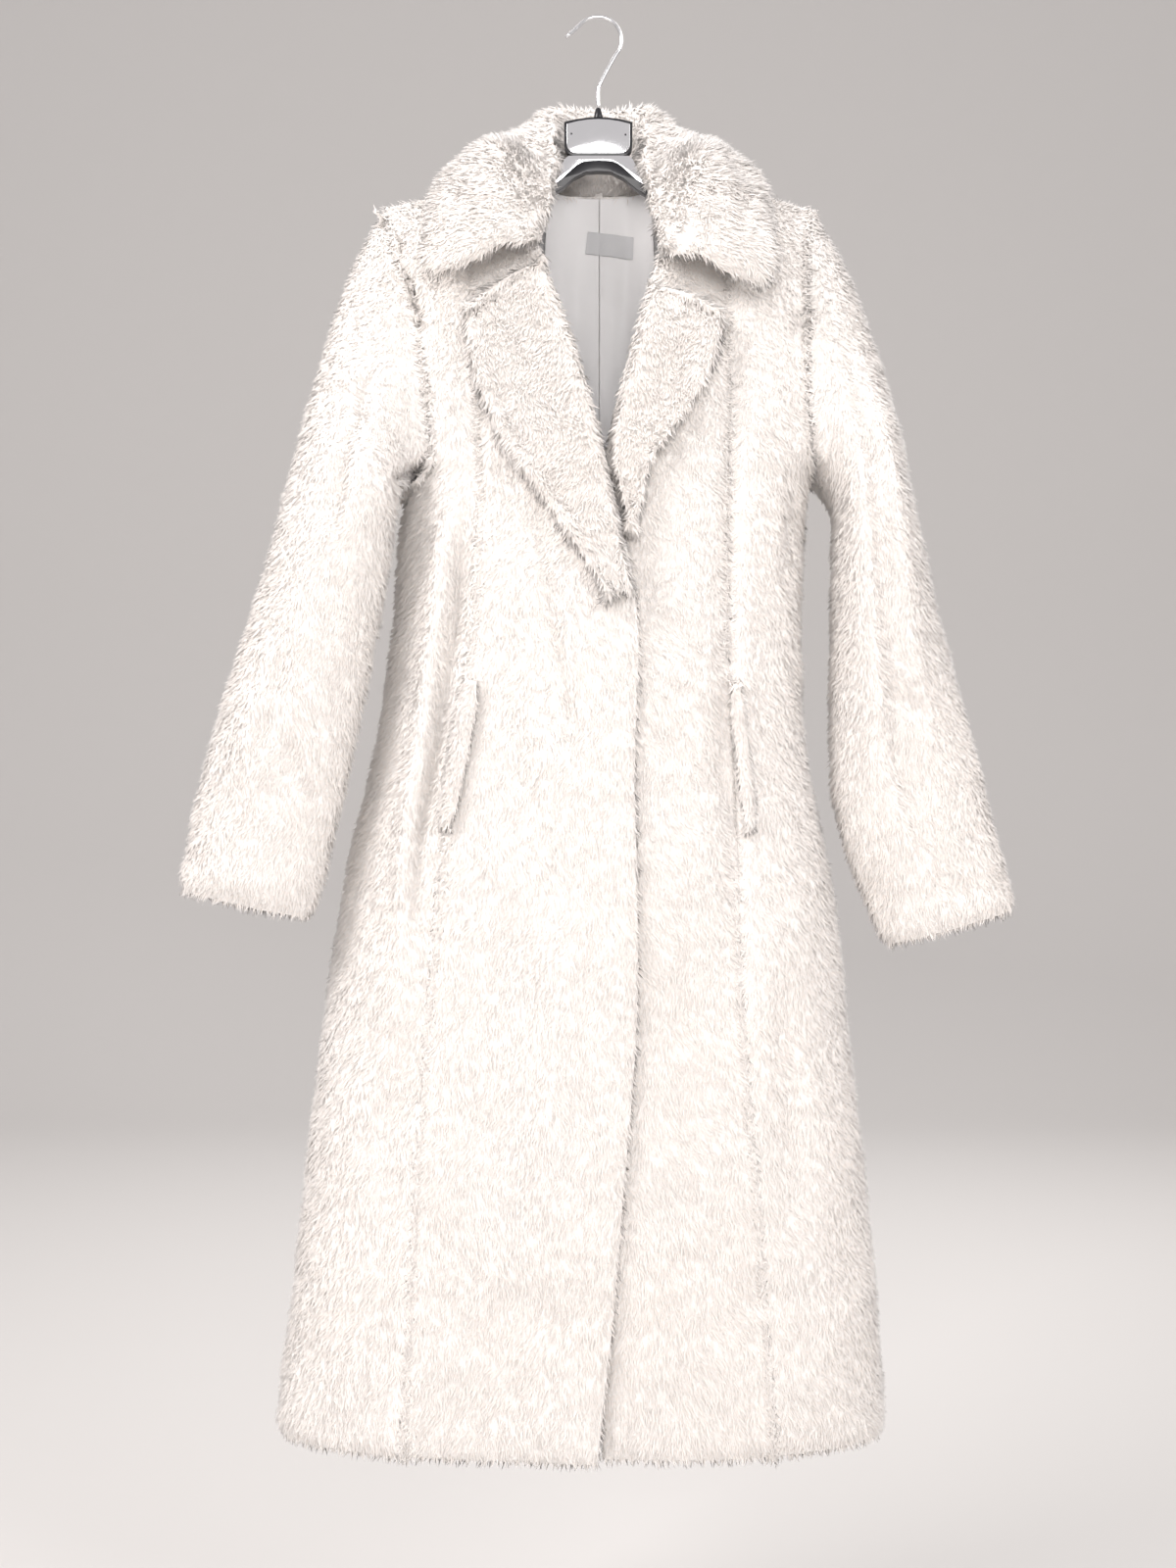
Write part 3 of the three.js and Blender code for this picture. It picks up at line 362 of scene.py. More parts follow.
# "faces" is the way that the outer layer looks, and "turnedIn" how far the fur goes round inside a cut edge
furPanels = {
    "front_centre_right": {"faces": (0, -1, 0), "flat": (0.185, 1.085), "area": 0.145, "strands": 27000},
    "front_side_right": {"faces": (0, -1, 0), "flat": (0.16, 1.06), "area": 0.11, "strands": 24000},
    "front_centre_left": {"faces": (0, -1, 0), "flat": (0.15, 1.085), "area": 0.11, "strands": 27000},
    "front_side_left": {"faces": (0, -1, 0), "flat": (0.17, 1.06), "area": 0.12, "strands": 24000},
    "back_right": {"faces": (0, 1, 0), "flat": (0.33, 1.09), "area": 0.235, "strands": 21500,
                   "turnedIn": 7 * mm},
    "back_left": {"faces": (0, 1, 0), "flat": (0.31, 1.09), "area": 0.22, "strands": 21500,
                  "turnedIn": 7 * mm},
    "sleeve_right": {"faces": None, "flat": (0.31, 0.63), "area": 0.15, "strands": 28500,
                     "turnedIn": 24 * mm},
    "sleeve_left": {"faces": None, "flat": (0.31, 0.63), "area": 0.15, "strands": 28500,
                    "turnedIn": 24 * mm},
    "collar": {"faces": (0, 0, 1), "flat": (0.62, 0.17), "area": 0.085, "strands": 29000,
               "rimHeight": None, "turnedIn": 30 * mm},
    "lapel_right": {"faces": (0, -1, 0), "flat": (0.12, 0.31), "area": 0.0185, "strands": 9000,
                    "rimHeight": 4.84 * mm},
    "lapel_left": {"faces": (0, -1, 0), "flat": (0.09, 0.23), "area": 0.0105, "strands": 6200,
                   "rimHeight": 4.84 * mm},
    "pocket_welt_right": {"faces": (0, -1, 0), "flat": (0.021, 0.125), "area": None, "strands": 1800,
                          "rimHeight": 2.64 * mm},
    "pocket_welt_left": {"faces": (0, -1, 0), "flat": (0.017, 0.125), "area": None, "strands": 1500,
                         "rimHeight": 2.64 * mm},
}
seamPieces = ("front", "back", "sleeve")


def isSewn(name):
    return name.split("_")[0] in seamPieces


def copyOfNode(node, name):
    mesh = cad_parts[node].data.copy()
    piece = bpy.data.objects.new(name, mesh)
    bpy.context.scene.collection.objects.link(piece)
    mesh.materials.clear()
    form = bmesh.new()
    form.from_mesh(mesh)
    bmesh.ops.remove_doubles(form, verts=form.verts, dist=cloth["mergeWithin"])
    form.to_mesh(mesh)
    form.free()
    return piece


# The two layers of a wall. Faces join across the flattest edges first, and two large layers never join
def wallLayers(form):
    form.faces.ensure_lookup_table()
    leader = list(range(len(form.faces)))
    size = [face.calc_area() for face in form.faces]
    large = cloth["largeShare"] * sum(size)

    def leaderOf(index):
        while leader[index] != index:
            leader[index] = leader[leader[index]]
            index = leader[index]
        return index

    inner = [edge for edge in form.edges if len(edge.link_faces) == 2]
    inner.sort(key=lambda edge: edge.calc_face_angle())
    for edge in inner:
        if edge.calc_face_angle() > cloth["rimAngle"]:
            break
        first, second = (leaderOf(face.index) for face in edge.link_faces)
        if first != second and not (size[first] > large and size[second] > large):
            leader[second] = first
            size[first] += size[second]
    layers = {}
    for face in form.faces:
        layers.setdefault(leaderOf(face.index), []).append(face)
    return sorted(layers.values(), key=lambda layer: -sum(face.calc_area() for face in layer))[:2]


# Faces of the chosen layer without the rim: a line into the wall from a layer's face soon comes out
def withoutRim(form, layer):
    solid = BVHTree.FromBMesh(form)
    kept = set()
    for face in layer:
        start = face.calc_center_median() - face.normal * cloth["mergeWithin"]
        distance = solid.ray_cast(start, -face.normal)[3]
        if distance is not None and distance < cloth["thickest"]:
            kept.add(face.index)
    return kept


# Layers of a wall of even thickness: its rim is known by the height of its own edges
def evenLayers(form, rimHeight):
    form.faces.ensure_lookup_table()
    group = {}
    for face in form.faces:
        if any(abs(edge.calc_length() - rimHeight) < cloth["rimSlack"] for edge in face.edges):
            group[face.index] = None
    layers = []
    for start in form.faces:
        if start.index in group:
            continue
        layer = [start]
        group[start.index] = len(layers)
        for face in layer:
            for edge in face.edges:
                for near in edge.link_faces:
                    if near.index not in group:
                        group[near.index] = len(layers)
                        layer.append(near)
        layers.append(layer)
    return sorted(layers, key=lambda layer: -sum(face.calc_area() for face in layer))[:2]


# The solid's rounded edge is raised again, square to the wall, so that neighbours meet level at a seam
def raiseEdge(form, kept, rimHeight):
    outer = set(corner for face in form.faces if face.index in kept for corner in face.verts)
    moves = {}
    for edge in form.edges:
        first, second = edge.verts
        if (first in outer) != (second in outer) and abs(edge.calc_length() - rimHeight) < cloth["rimSlack"]:
            near, far = (first, second) if first in outer else (second, first)
            moves[near] = (near.co - far.co).normalized() * cloth["edgeDrop"]
    for corner, move in moves.items():
        corner.co += move


def keepOuterLayer(piece, faces, rimHeight):
    form = bmesh.new()
    form.from_mesh(piece.data)
    form.verts.index_update()
    layers = evenLayers(form, rimHeight) if rimHeight else wallLayers(form)
    if faces:
        towards = Vector(faces)
        layers.sort(key=lambda layer: -sum(face.normal.dot(towards) * face.calc_area() for face in layer))
    kept = set(face.index for face in layers[0]) if rimHeight else withoutRim(form, layers[0])
    if isSewn(piece.name):
        raiseEdge(form, kept, rimHeight)
    spare = [face for face in form.faces if face.index not in kept]
    bmesh.ops.delete(form, geom=spare, context="FACES")
    form.to_mesh(piece.data)
    form.free()


def splitLongEdges(piece, longest):
    form = bmesh.new()
    form.from_mesh(piece.data)
    for _ in range(3):
        bmesh.ops.triangulate(form, faces=form.faces)
        tooLong = [edge for edge in form.edges if edge.calc_length() > longest]
        if not tooLong:
            break
        bmesh.ops.subdivide_edges(form, edges=tooLong, cuts=1)
    bmesh.ops.triangulate(form, faces=form.faces)
    form.to_mesh(piece.data)
    form.free()


def readPoints(mesh):
    places = np.zeros(len(mesh.vertices) * 3)
    mesh.vertices.foreach_get("co", places)
    return places.reshape(-1, 3)


def readNormals(mesh):
    normals = np.zeros(len(mesh.vertices) * 3, np.float32)
    mesh.vertex_normals.foreach_get("vector", normals)
    return normals.reshape(-1, 3).astype(float)


def writePoints(mesh, places):
    mesh.vertices.foreach_set("co", places.ravel())
    mesh.update()


# Creases listed in millimetres: depth is below the cloth where negative, width is half the trough

creases = {
    "front": [
        {"name": "side fold", "depth": -8.8, "width": 6,
         "path": [(-108, -400), (-113, -459), (-118, -515), (-123, -549), (-130, -603), (-138, -650),
                  (-145, -686), (-149, -775)]},
        {"name": "side fold roll", "depth": 5.4, "width": 9,
         "path": [(-122, -410), (-127, -459), (-132, -515), (-144, -603), (-152, -650), (-163, -775)]},
        {"name": "chest crease", "depth": -2.3, "width": 5,
         "path": [(-97, -330), (-98, -384), (-95, -438)]},
        {"name": "dart", "depth": -4.6, "width": 5,
         "path": [(-50, -406), (-47, -447), (-39, -507), (-29, -561), (-19, -613), (-10, -640)]},
        {"name": "dart end pucker", "depth": -2.3, "width": 7,
         "path": [(-14, -650), (-2, -657), (20, -672)]},
        {"name": "under pucker", "depth": 2.3, "width": 9,
         "path": [(-60, -560), (-48, -620), (-40, -668)]},
        {"name": "waist pull right", "depth": -2.0, "width": 12,
         "path": [(-128, -470), (-96, -520), (-58, -548)]},
        {"name": "seam line left", "depth": -4.6, "width": 9,
         "path": [(107, -262), (108, -357), (105, -432), (103, -481), (104, -523), (99, -569), (99, -619),
                  (105, -669), (106, -744), (114, -800), (118, -900)]},
        {"name": "waist pull left", "depth": -2.2, "width": 11,
         "path": [(62, -520), (84, -548), (118, -540)]},
        {"name": "armpit dent", "depth": -6.5, "width": 8,
         "path": [(162, -418), (163, -432), (160, -447)]},
        {"name": "side crease left", "depth": -4.3, "width": 5,
         "path": [(164, -250), (160, -264), (153, -281)]},
        {"name": "skirt dimple high", "depth": -2.9, "width": 6,
         "path": [(31, -974), (56, -977), (83, -972)]},
        {"name": "skirt dimple", "depth": -3.5, "width": 6,
         "path": [(51, -1016), (66, -1019), (86, -1009)]},
        {"name": "hem sweep left", "depth": -3.5, "width": 8,
         "path": [(107, -1058), (135, -1041), (198, -1040), (222, -1026)]},
        {"name": "hem sweep right", "depth": -3.2, "width": 8,
         "path": [(-96, -1060), (-67, -1050), (-39, -1053), (-18, -1066)]},
        {"name": "skirt roll right", "depth": 2.9, "width": 20,
         "path": [(-40, -720), (-46, -860), (-50, -1000)]},
        {"name": "skirt roll left", "depth": 2.6, "width": 18,
         "path": [(44, -700), (52, -840), (60, -960)]},
        {"name": "side fall right", "depth": -3.2, "width": 12,
         "path": [(-152, -820), (-166, -920), (-170, -1010)]},
        {"name": "side fall left", "depth": -3.5, "width": 12,
         "path": [(146, -780), (152, -880), (158, -990)]},
        {"name": "hip crease right", "depth": -2.6, "width": 7,
         "path": [(-196, -730), (-178, -752), (-158, -760)]},
    ],
    "back": [
        {"name": "blade fall right", "depth": -3.5, "width": 16,
         "path": [(-112, -250), (-100, -380), (-92, -520)]},
        {"name": "blade fall left", "depth": -3.2, "width": 16,
         "path": [(104, -260), (96, -390), (82, -540)]},
        {"name": "centre seam", "depth": -3.5, "width": 5,
         "path": [(0, -150), (0, -520), (0, -900), (0, -1172)]},
        {"name": "waist drag", "depth": -2.9, "width": 10,
         "path": [(-88, -560), (-40, -584), (12, -578), (64, -556)]},
        {"name": "waist drag low", "depth": -2.3, "width": 12,
         "path": [(-44, -640), (6, -652), (52, -636)]},
        {"name": "armpit pull right", "depth": -4.6, "width": 9,
         "path": [(-158, -392), (-140, -430), (-128, -480)]},
        {"name": "armpit pull left", "depth": -4.3, "width": 9,
         "path": [(152, -396), (136, -428), (122, -470)]},
        {"name": "hem dent right", "depth": -3.5, "width": 9,
         "path": [(-150, -1052), (-106, -1038), (-66, -1046)]},
        {"name": "hem dent left", "depth": -3.2, "width": 8,
         "path": [(58, -1030), (96, -1022), (140, -1036)]},
        {"name": "skirt roll", "depth": 2.9, "width": 18,
         "path": [(-48, -760), (-56, -900), (-62, -1030)]},
        {"name": "skirt roll far", "depth": 2.9, "width": 16,
         "path": [(46, -740), (56, -880), (66, -1060)]},
    ],
    "sleeve_right": [
        {"name": "upper crease", "depth": -4.9, "width": 5,
         "path": [(-178, -292), (-183, -303), (-190, -325), (-193, -349), (-200, -372), (-206, -410),
                  (-210, -451)]},
        {"name": "elbow arc", "depth": -4.9, "width": 6,
         "path": [(-242, -593), (-245, -610), (-238, -630), (-222, -652), (-211, -661)]},
        {"name": "forearm line", "depth": -2.9, "width": 7,
         "path": [(-248, -527), (-260, -581), (-270, -610), (-268, -636)]},
        {"name": "elbow swell", "depth": 3.2, "width": 12,
         "path": [(-262, -560), (-276, -600), (-270, -650)]},
        {"name": "cuff roll", "depth": 2.3, "width": 9,
         "path": [(-318, -700), (-286, -716), (-250, -722)]},
        {"name": "cap dimple", "depth": -2.9, "width": 8,
         "path": [(-205, -226), (-196, -250), (-193, -272)]},
    ],
    "sleeve_left": [
        {"name": "long fold", "depth": -4.1, "width": 7,
         "path": [(198, -242), (203, -305), (215, -380), (223, -456), (233, -540), (241, -619),
                  (255, -669), (258, -719)]},
        {"name": "long roll", "depth": 2.9, "width": 10,
         "path": [(222, -300), (240, -420), (256, -540), (276, -640)]},
        {"name": "elbow crease", "depth": -3.5, "width": 7,
         "path": [(232, -560), (252, -578), (270, -574)]},
        {"name": "cuff crease", "depth": -2.6, "width": 8,
         "path": [(270, -712), (292, -724), (316, -720)]},
    ],
    "collar": [
        {"name": "fall crease right", "depth": -3.2, "width": 8,
         "path": [(-118, -132), (-100, -168), (-92, -214)]},
        {"name": "fall crease left", "depth": -3.2, "width": 8,
         "path": [(112, -120), (118, -160), (108, -208)]},
        {"name": "soft roll right", "depth": 2.6, "width": 12,
         "path": [(-82, -96), (-72, -140), (-66, -190)]},
        {"name": "soft roll left", "depth": 2.6, "width": 12,
         "path": [(84, -96), (76, -150), (70, -196)]},
    ],
    "lapel_right": [
        {"name": "rolled edge", "depth": 2.9, "width": 7,
         "path": [(-104, -300), (-76, -368), (-44, -415), (-12, -462), (6, -488)]},
        {"name": "edge groove", "depth": -3.2, "width": 5,
         "path": [(-92, -300), (-66, -358), (-34, -408), (0, -452)]},
        {"name": "lapel dip", "depth": -2.3, "width": 14,
         "path": [(-66, -262), (-46, -320), (-20, -376)]},
    ],
    "lapel_left": [
        {"name": "lapel dip", "depth": -2.3, "width": 12,
         "path": [(66, -270), (52, -320), (36, -366)]},
        {"name": "rolled edge", "depth": 2.3, "width": 7,
         "path": [(96, -290), (80, -330), (54, -366)]},
    ],
}


# Nearest way across from each place to a crease, and how far along it that is, from 0 to 1
def alongCrease(places, path):
    corners = np.array(path, float)
    runs = np.diff(corners, axis=0)
    lengths = np.linalg.norm(runs, axis=1)
    starts = np.concatenate([[0], np.cumsum(lengths)])
    nearest = np.full(len(places), 1e9)
    share = np.zeros(len(places))
    for corner, run, length, start in zip(corners, runs, lengths, starts):
        reach = np.clip(((places - corner) @ run) / (length * length), 0, 1)
        distance = np.linalg.norm(places - corner - reach[:, None] * run, axis=1)
        closer = distance < nearest
        nearest[closer] = distance[closer]
        share[closer] = (start + reach[closer] * length) / starts[-1]
    return nearest, share


creaseEnds = {"start": (-0.02, 0.22), "end": (0.72, 1.02)}  # shares of its length where a crease fades


# How far the creases lift the cloth at each place, seen from the front
def creaseRise(places, table):
    flat = places[:, [0, 2]] / mm
    total = np.zeros(len(places))
    for crease in table:
        distance, share = alongCrease(flat, crease["path"])
        fade = easeStep(share, *creaseEnds["start"]) * (1 - easeStep(share, *creaseEnds["end"]))
        total += crease["depth"] * mm * fade * np.exp(-((distance / crease["width"]) ** 2))
    return total


def creasesOf(node):
    if node.startswith("front") or node.startswith("pocket"):
        return creases["front"]
    if node.startswith("back"):
        return creases["back"]
    return creases[node]


def treeOf(places):
    tree = KDTree(max(len(places), 1))
    for index, place in enumerate(places):
        tree.insert(place, index)
    tree.balance()
    return tree


# Points closely along a sheet's cut edge
def edgePoints(mesh):
    form = bmesh.new()
    form.from_mesh(mesh)
    onEdge = []
    for edge in form.edges:
        if edge.is_boundary:
            steps = math.ceil(edge.calc_length() / cloth["edgeStep"])
            start, end = (corner.co for corner in edge.verts)
            onEdge += [start.lerp(end, step / steps) for step in range(steps)]
    form.free()
    return onEdge


def distanceTo(places, edge):
    if not edge:
        return np.full(len(places), 1.0)
    tree = treeOf(edge)
    return np.array([tree.find(place)[2] for place in places])


# Triangles are joined in pairs, so that subdivision stays even
def pairTriangles(piece):
    makeActive(piece)
    bpy.ops.object.mode_set(mode="EDIT")
    bpy.ops.mesh.select_all(action="SELECT")
    bpy.ops.mesh.tris_convert_to_quads(face_threshold=cloth["quadTurn"], shape_threshold=cloth["quadSkew"])
    bpy.ops.object.mode_set(mode="OBJECT")


# Smooth open sheet on the outer layer of a panel's solid
def openSheet(node, panel):
    sheet = copyOfNode(node, node + "_cloth")
    keepOuterLayer(sheet, panel["faces"], panel.get("rimHeight", cloth["rimHeight"]))
    pairTriangles(sheet)
    rounds = cloth["rounds"]
    smoothing = {"levels": rounds, "render_levels": rounds, "boundary_smooth": "PRESERVE_CORNERS"}
    applyModifier(sheet, "SUBSURF", smoothing)
    splitLongEdges(sheet, cloth["longestEdge"])
    return sheet


# Each sheet's cut edge, parted into seams, which meet another sheet, and free edges
def partEdges(sheets):
    edges = {node: edgePoints(sheet.data) for node, sheet in sheets.items()}
    trees = {node: treeOf(points) for node, points in edges.items()}
    parted = {}
    for node, points in edges.items():
        others = [tree for other, tree in trees.items() if other != node and isSewn(other)]
        met = [isSewn(node) and any(tree.find(point)[2] < cloth["seamWithin"] for tree in others)
               for point in points]
        parted[node] = {
            "seam": [point for point, on in zip(points, met) if on],
            "free": [point for point, on in zip(points, met) if not on],
        }
    return parted


pile = {
    "sink": 4.9 * mm,
    "weltSink": 3.2 * mm,
    "unevenness": 0.9 * mm,
    "broadWave": 75 * mm,
    "fineWave": 30 * mm,
    "fineShare": 0.5,
    "seeds": (11, 12),
}
edgeShape = {"dip": 1.4 * mm, "sewnDip": 3.4 * mm, "reach": 7 * mm}
facingFront = (0.0, 0.35)  # creases fade where the cloth turns away from the front
allowance = {"width": 3.2 * mm, "drop": 0.5 * mm, "near": 3 * mm}


# Seam allowance: the sheet runs on a little past its seams, just below the panel that it meets
def addAllowance(shell, seam):
    if not seam:
        return
    tree = treeOf(seam)
    form = bmesh.new()
    form.from_mesh(shell.data)
    onSeam = []
    ways = {}
    for edge in form.edges:
        if edge.is_boundary and all(tree.find(corner.co)[2] < allowance["near"] for corner in edge.verts):
            onSeam.append((edge.link_loops[0].vert, edge.link_loops[0].link_loop_next.vert))
            face = edge.link_faces[0]
            start, end = (corner.co for corner in edge.verts)
            outward = (end - start).cross(face.normal).normalized()
            if outward.dot((start + end) / 2 - face.calc_center_median()) < 0:
                outward.negate()
            for corner in edge.verts:
                ways.setdefault(corner, []).append((outward, face.normal.copy()))
    grown = {}
    for corner, pairs in ways.items():
        outward = sum((pair[0] for pair in pairs), Vector()).normalized()
        normal = sum((pair[1] for pair in pairs), Vector()).normalized()
        shift = outward * allowance["width"] - normal * allowance["drop"]
        grown[corner] = form.verts.new(corner.co + shift)
    for first, second in onSeam:
        form.faces.new((second, first, grown[first], grown[second]))
    form.to_mesh(shell.data)
    form.free()
    shell.data.update()


# The shell of one fur panel: soft form, creases, sunken by the pile, then given its wall
def furShell(node, panel, shell, edges):
    addAllowance(shell, edges["seam"])
    places = readPoints(shell.data)
    normals = readNormals(shell.data)
    sink = pile["weltSink"] if node.startswith("pocket") else pile["sink"]
    toFree = distanceTo(places, edges["free"])
    depth = edgeShape["sewnDip"] if isSewn(node) else edgeShape["dip"]
    dip = depth * np.exp(-((toFree / edgeShape["reach"]) ** 2))
    broad = softNoise(places, pile["broadWave"], pile["seeds"][0])
    fine = softNoise(places, pile["fineWave"], pile["seeds"][1])
    uneven = pile["unevenness"] * (broad + pile["fineShare"] * fine)
    facing = np.ones(len(places))
    if node.startswith("sleeve") or node.startswith("front"):
        facing = easeStep(-normals[:, 1], *facingFront)
    rise = creaseRise(places, creasesOf(node)) * facing + uneven - sink - dip
    writePoints(shell.data, places + normals * rise[:, None])
    edge = edgePoints(shell.data)
    shell.data.materials.append(materials["backing"])
    shell.data.materials.append(materials["satin"])
    wall = {"thickness": cloth["shellWall"], "offset": -1, "material_offset": 1, "material_offset_rim": 0}
    applyModifier(shell, "SOLIDIFY", wall)
    turnInFur(shell, edge, panel.get("turnedIn", cloth["turnedIn"]))
    smoothShade(shell, cloth["shadeAngle"])
    return shell


# The fur is turned in at cut edges, so the inside carries it too for a short way
def turnInFur(shell, edge, reach):
    inside = [face for face in shell.data.polygons if face.material_index == 1]
    centres = np.array([face.center for face in inside])
    for face, distance in zip(inside, distanceTo(centres, edge)):
        if distance < reach:
            face.material_index = 0


# Fur laid on a shell, as one joined mesh of tapering strands of three faces each

plush = {
    "panel": {"length": 6.8 * mm, "width": 1.45 * mm, "lean": 46, "stray": 0.34, "clumpEvery": 7,
              "clumpPull": 0.22},
    "collar": {"length": 8.6 * mm, "width": 1.5 * mm, "lean": 42, "stray": 0.4, "clumpEvery": 12,
               "clumpPull": 0.35},
    "welt": {"length": 5.6 * mm, "width": 1.5 * mm, "lean": 44, "stray": 0.3, "clumpEvery": 7,
             "clumpPull": 0.22},
}
brushing = {
    "collarOutwards": 0.8,
    "outwards": 0.15,
    "broadSwirl": 0.3,
    "broadWave": 60 * mm,
    "fineSwirl": 0.22,
    "fineWave": 20 * mm,
    "leanDrift": 0.1,
    "leanWave": 22 * mm,
    "leanSpread": 0.14,
    "lengthSpread": 0.14,
    "shortest": 0.5,
    "longest": 1.35,
    "bend": 0.2,
    "droop": 0.08,
    "pullBase": 0.6,
    "pullDrift": 0.4,
    "pullWave": 30 * mm,
}
seamCover = {"pull": 1.6, "reach": 5.5 * mm, "farthest": 18 * mm}
furSeeds = {"first": 100, "step": 10}


def furOf(node):
    if node.startswith("collar") or node.startswith("lapel"):
        return plush["collar"]
    return plush["welt"] if node.startswith("pocket") else plush["panel"]


# Roots spread evenly over the outer faces and the rim, with their normals
def strandRoots(mesh, count, source):
    mesh.calc_loop_triangles()
    total = len(mesh.loop_triangles)
    corners = np.zeros(total * 3, int)
    mesh.loop_triangles.foreach_get("vertices", corners)
    corners = corners.reshape(-1, 3)
    slots = np.zeros(total, int)
    mesh.loop_triangles.foreach_get("material_index", slots)
    corners = corners[slots == 0]
    places = readPoints(mesh)
    normals = readNormals(mesh)
    first, second, third = (places[corners[:, side]] for side in range(3))
    sizes = np.linalg.norm(np.cross(second - first, third - first), axis=1)
    heap = np.cumsum(sizes) / sizes.sum()
    steps = (np.arange(count) + source.uniform(0, 1, count)) / count
    chosen = np.searchsorted(heap, steps).clip(0, len(corners) - 1)
    across = np.sqrt(source.uniform(0, 1, count))
    along = source.uniform(0, 1, count)
    weights = np.stack([1 - across, across * (1 - along), across * along], axis=1)
    rows = corners[chosen]
    roots = sum(places[rows[:, side]] * weights[:, side, None] for side in range(3))
    out = unitRows(sum(normals[rows[:, side]] * weights[:, side, None] for side in range(3)))
    return roots, out


# Way the pile is brushed: down the coat, and out over the shoulders of the collar
def brushed(roots, out, outwards):
    away = roots * (1, 1, 0)
    away[:, 1] += 10 * mm
    away = unitRows(away)
    down = np.array([0, 0, -1.0]) + away * outwards
    lying = down - out * np.sum(down * out, axis=1, keepdims=True)
    return unitRows(lying)


def nearestClump(points, every):
    tree = KDTree(len(points) // every + 1)
    chosen = list(range(0, len(points), every))
    for index in chosen:
        tree.insert(points[index], index)
    tree.balance()
    return np.array([tree.find(point)[1] for point in points])


# Pull on each strand towards the seam beside it, so that the pile of both panels closes over the join
def acrossSeam(roots, out, seam):
    if not seam:
        return np.zeros_like(roots)
    tree = treeOf(seam)
    nearest = np.array([tree.find(root)[0] for root in roots])
    away = nearest - roots
    sideways = away - out * np.sum(away * out, axis=1, keepdims=True)
    distance = np.linalg.norm(sideways, axis=1)
    share = seamCover["pull"] * np.exp(-((distance / seamCover["reach"]) ** 2))
    share *= np.linalg.norm(away, axis=1) < seamCover["farthest"]
    return unitRows(sideways) * share[:, None]


def layFur(node, shell, count, seed, seam):
    look = furOf(node)
    source = np.random.default_rng(seed)
    roots, out = strandRoots(shell.data, count, source)
    order = source.permutation(count)
    roots, out = roots[order], out[order]
    lying = brushed(roots, out, brushing["collarOutwards"] if node == "collar" else brushing["outwards"])
    across = np.cross(out, lying)
    swirl = brushing["broadSwirl"] * softNoise(roots, brushing["broadWave"], seed + 1)
    swirl += brushing["fineSwirl"] * softNoise(roots, brushing["fineWave"], seed + 2)
    swirl += source.normal(0, look["stray"], count)
    drift = brushing["leanDrift"] * softNoise(roots, brushing["leanWave"], seed + 3)
    lean = math.radians(look["lean"]) + drift + source.normal(0, brushing["leanSpread"], count)
    flat = unitRows(lying + across * swirl[:, None] + acrossSeam(roots, out, seam))
    direction = out * np.cos(lean)[:, None] + flat * np.sin(lean)[:, None]
    length = 1 + source.normal(0, brushing["lengthSpread"], count)
    length = look["length"] * length.clip(brushing["shortest"], brushing["longest"])
    bent = unitRows(direction + flat * brushing["bend"] - np.array([0, 0, brushing["droop"]]))
    tips = roots + bent * length[:, None]
    leader = nearestClump(roots, look["clumpEvery"])
    share = brushing["pullBase"] + brushing["pullDrift"] * softNoise(roots, brushing["pullWave"], seed + 4)
    pull = look["clumpPull"] * share.clip(0, 1)
    tips += (tips[leader] - tips) * pull[:, None]
    return strandMesh(node + "_fur", roots, tips, out, look["width"], source)


strand = {
    "radius": 0.58,  # of its width
    "thinnest": 0.75,
    "thickest": 1.25,
    "sides": 3,
    # the root's place on the pile's colour ramp, kept low: painted shade deep in the pile
    "shadedRootTone": 0.15,
    "toneSpread": 0.06,
    "scatter": 0.1,
    "lengthwise": 0.25,
    "roundness": 0.55,
}


# Each strand is a slim three-sided spike, shaded by the cloth's own direction
def strandMesh(name, roots, tips, out, width, source):
    count = len(roots)
    direction = unitRows(tips - roots)
    sideways = unitRows(np.cross(out, direction))
    upwards = np.cross(direction, sideways)
    radius = strand["radius"] * width * source.uniform(strand["thinnest"], strand["thickest"], count)
    phase = source.uniform(0, fullTurn, count)
    ring = []
    for side in range(strand["sides"]):
        angle = phase + side * fullTurn / strand["sides"]
        offset = sideways * np.cos(angle)[:, None] + upwards * np.sin(angle)[:, None]
        ring.append(offset * radius[:, None])
    corners = np.stack([roots + offset for offset in ring] + [tips], axis=1)
    base = np.arange(count)[:, None] * 4
    faces = np.concatenate([base + (0, 1, 3), base + (1, 2, 3), base + (2, 0, 3)], axis=1).reshape(-1, 3)
    mesh = bpy.data.meshes.new(name)
    mesh.vertices.add(count * 4)
    mesh.vertices.foreach_set("co", corners.ravel())
    mesh.loops.add(len(faces) * 3)
    mesh.loops.foreach_set("vertex_index", faces.ravel())
    mesh.polygons.add(len(faces))
    mesh.polygons.foreach_set("loop_start", np.arange(len(faces)) * 3)
    mesh.update(calc_edges=True)
    # Each strand's tone runs from its darker root to its tip, which is painted shade deep in the pile; it also
    # differs at random from strand to strand
    tone = mesh.attributes.new("pileShadeAndTone", "FLOAT", "POINT")
    shade = source.normal(0, strand["toneSpread"], count)
    tones = np.stack([strand["shadedRootTone"] + shade] * strand["sides"] + [1.0 + shade], axis=1)
    tone.data.foreach_set("value", tones.clip(0, 1).ravel().astype(np.float32))
    scatter = strand["scatter"] * source.normal(size=(count, 3)) + strand["lengthwise"] * direction
    sides = np.stack(ring + [0 * ring[0]], axis=1).reshape(-1, 3) / width
    softened = unitRows(np.repeat(out + scatter, 4, axis=0) + strand["roundness"] * sides)
    mesh.polygons.foreach_set("use_smooth", np.ones(len(faces), bool))
    mesh.normals_split_custom_set_from_vertices(softened)
    mesh.materials.append(materials["pile"])
    piece = bpy.data.objects.new(name, mesh)
    bpy.context.scene.collection.objects.link(piece)
    return piece


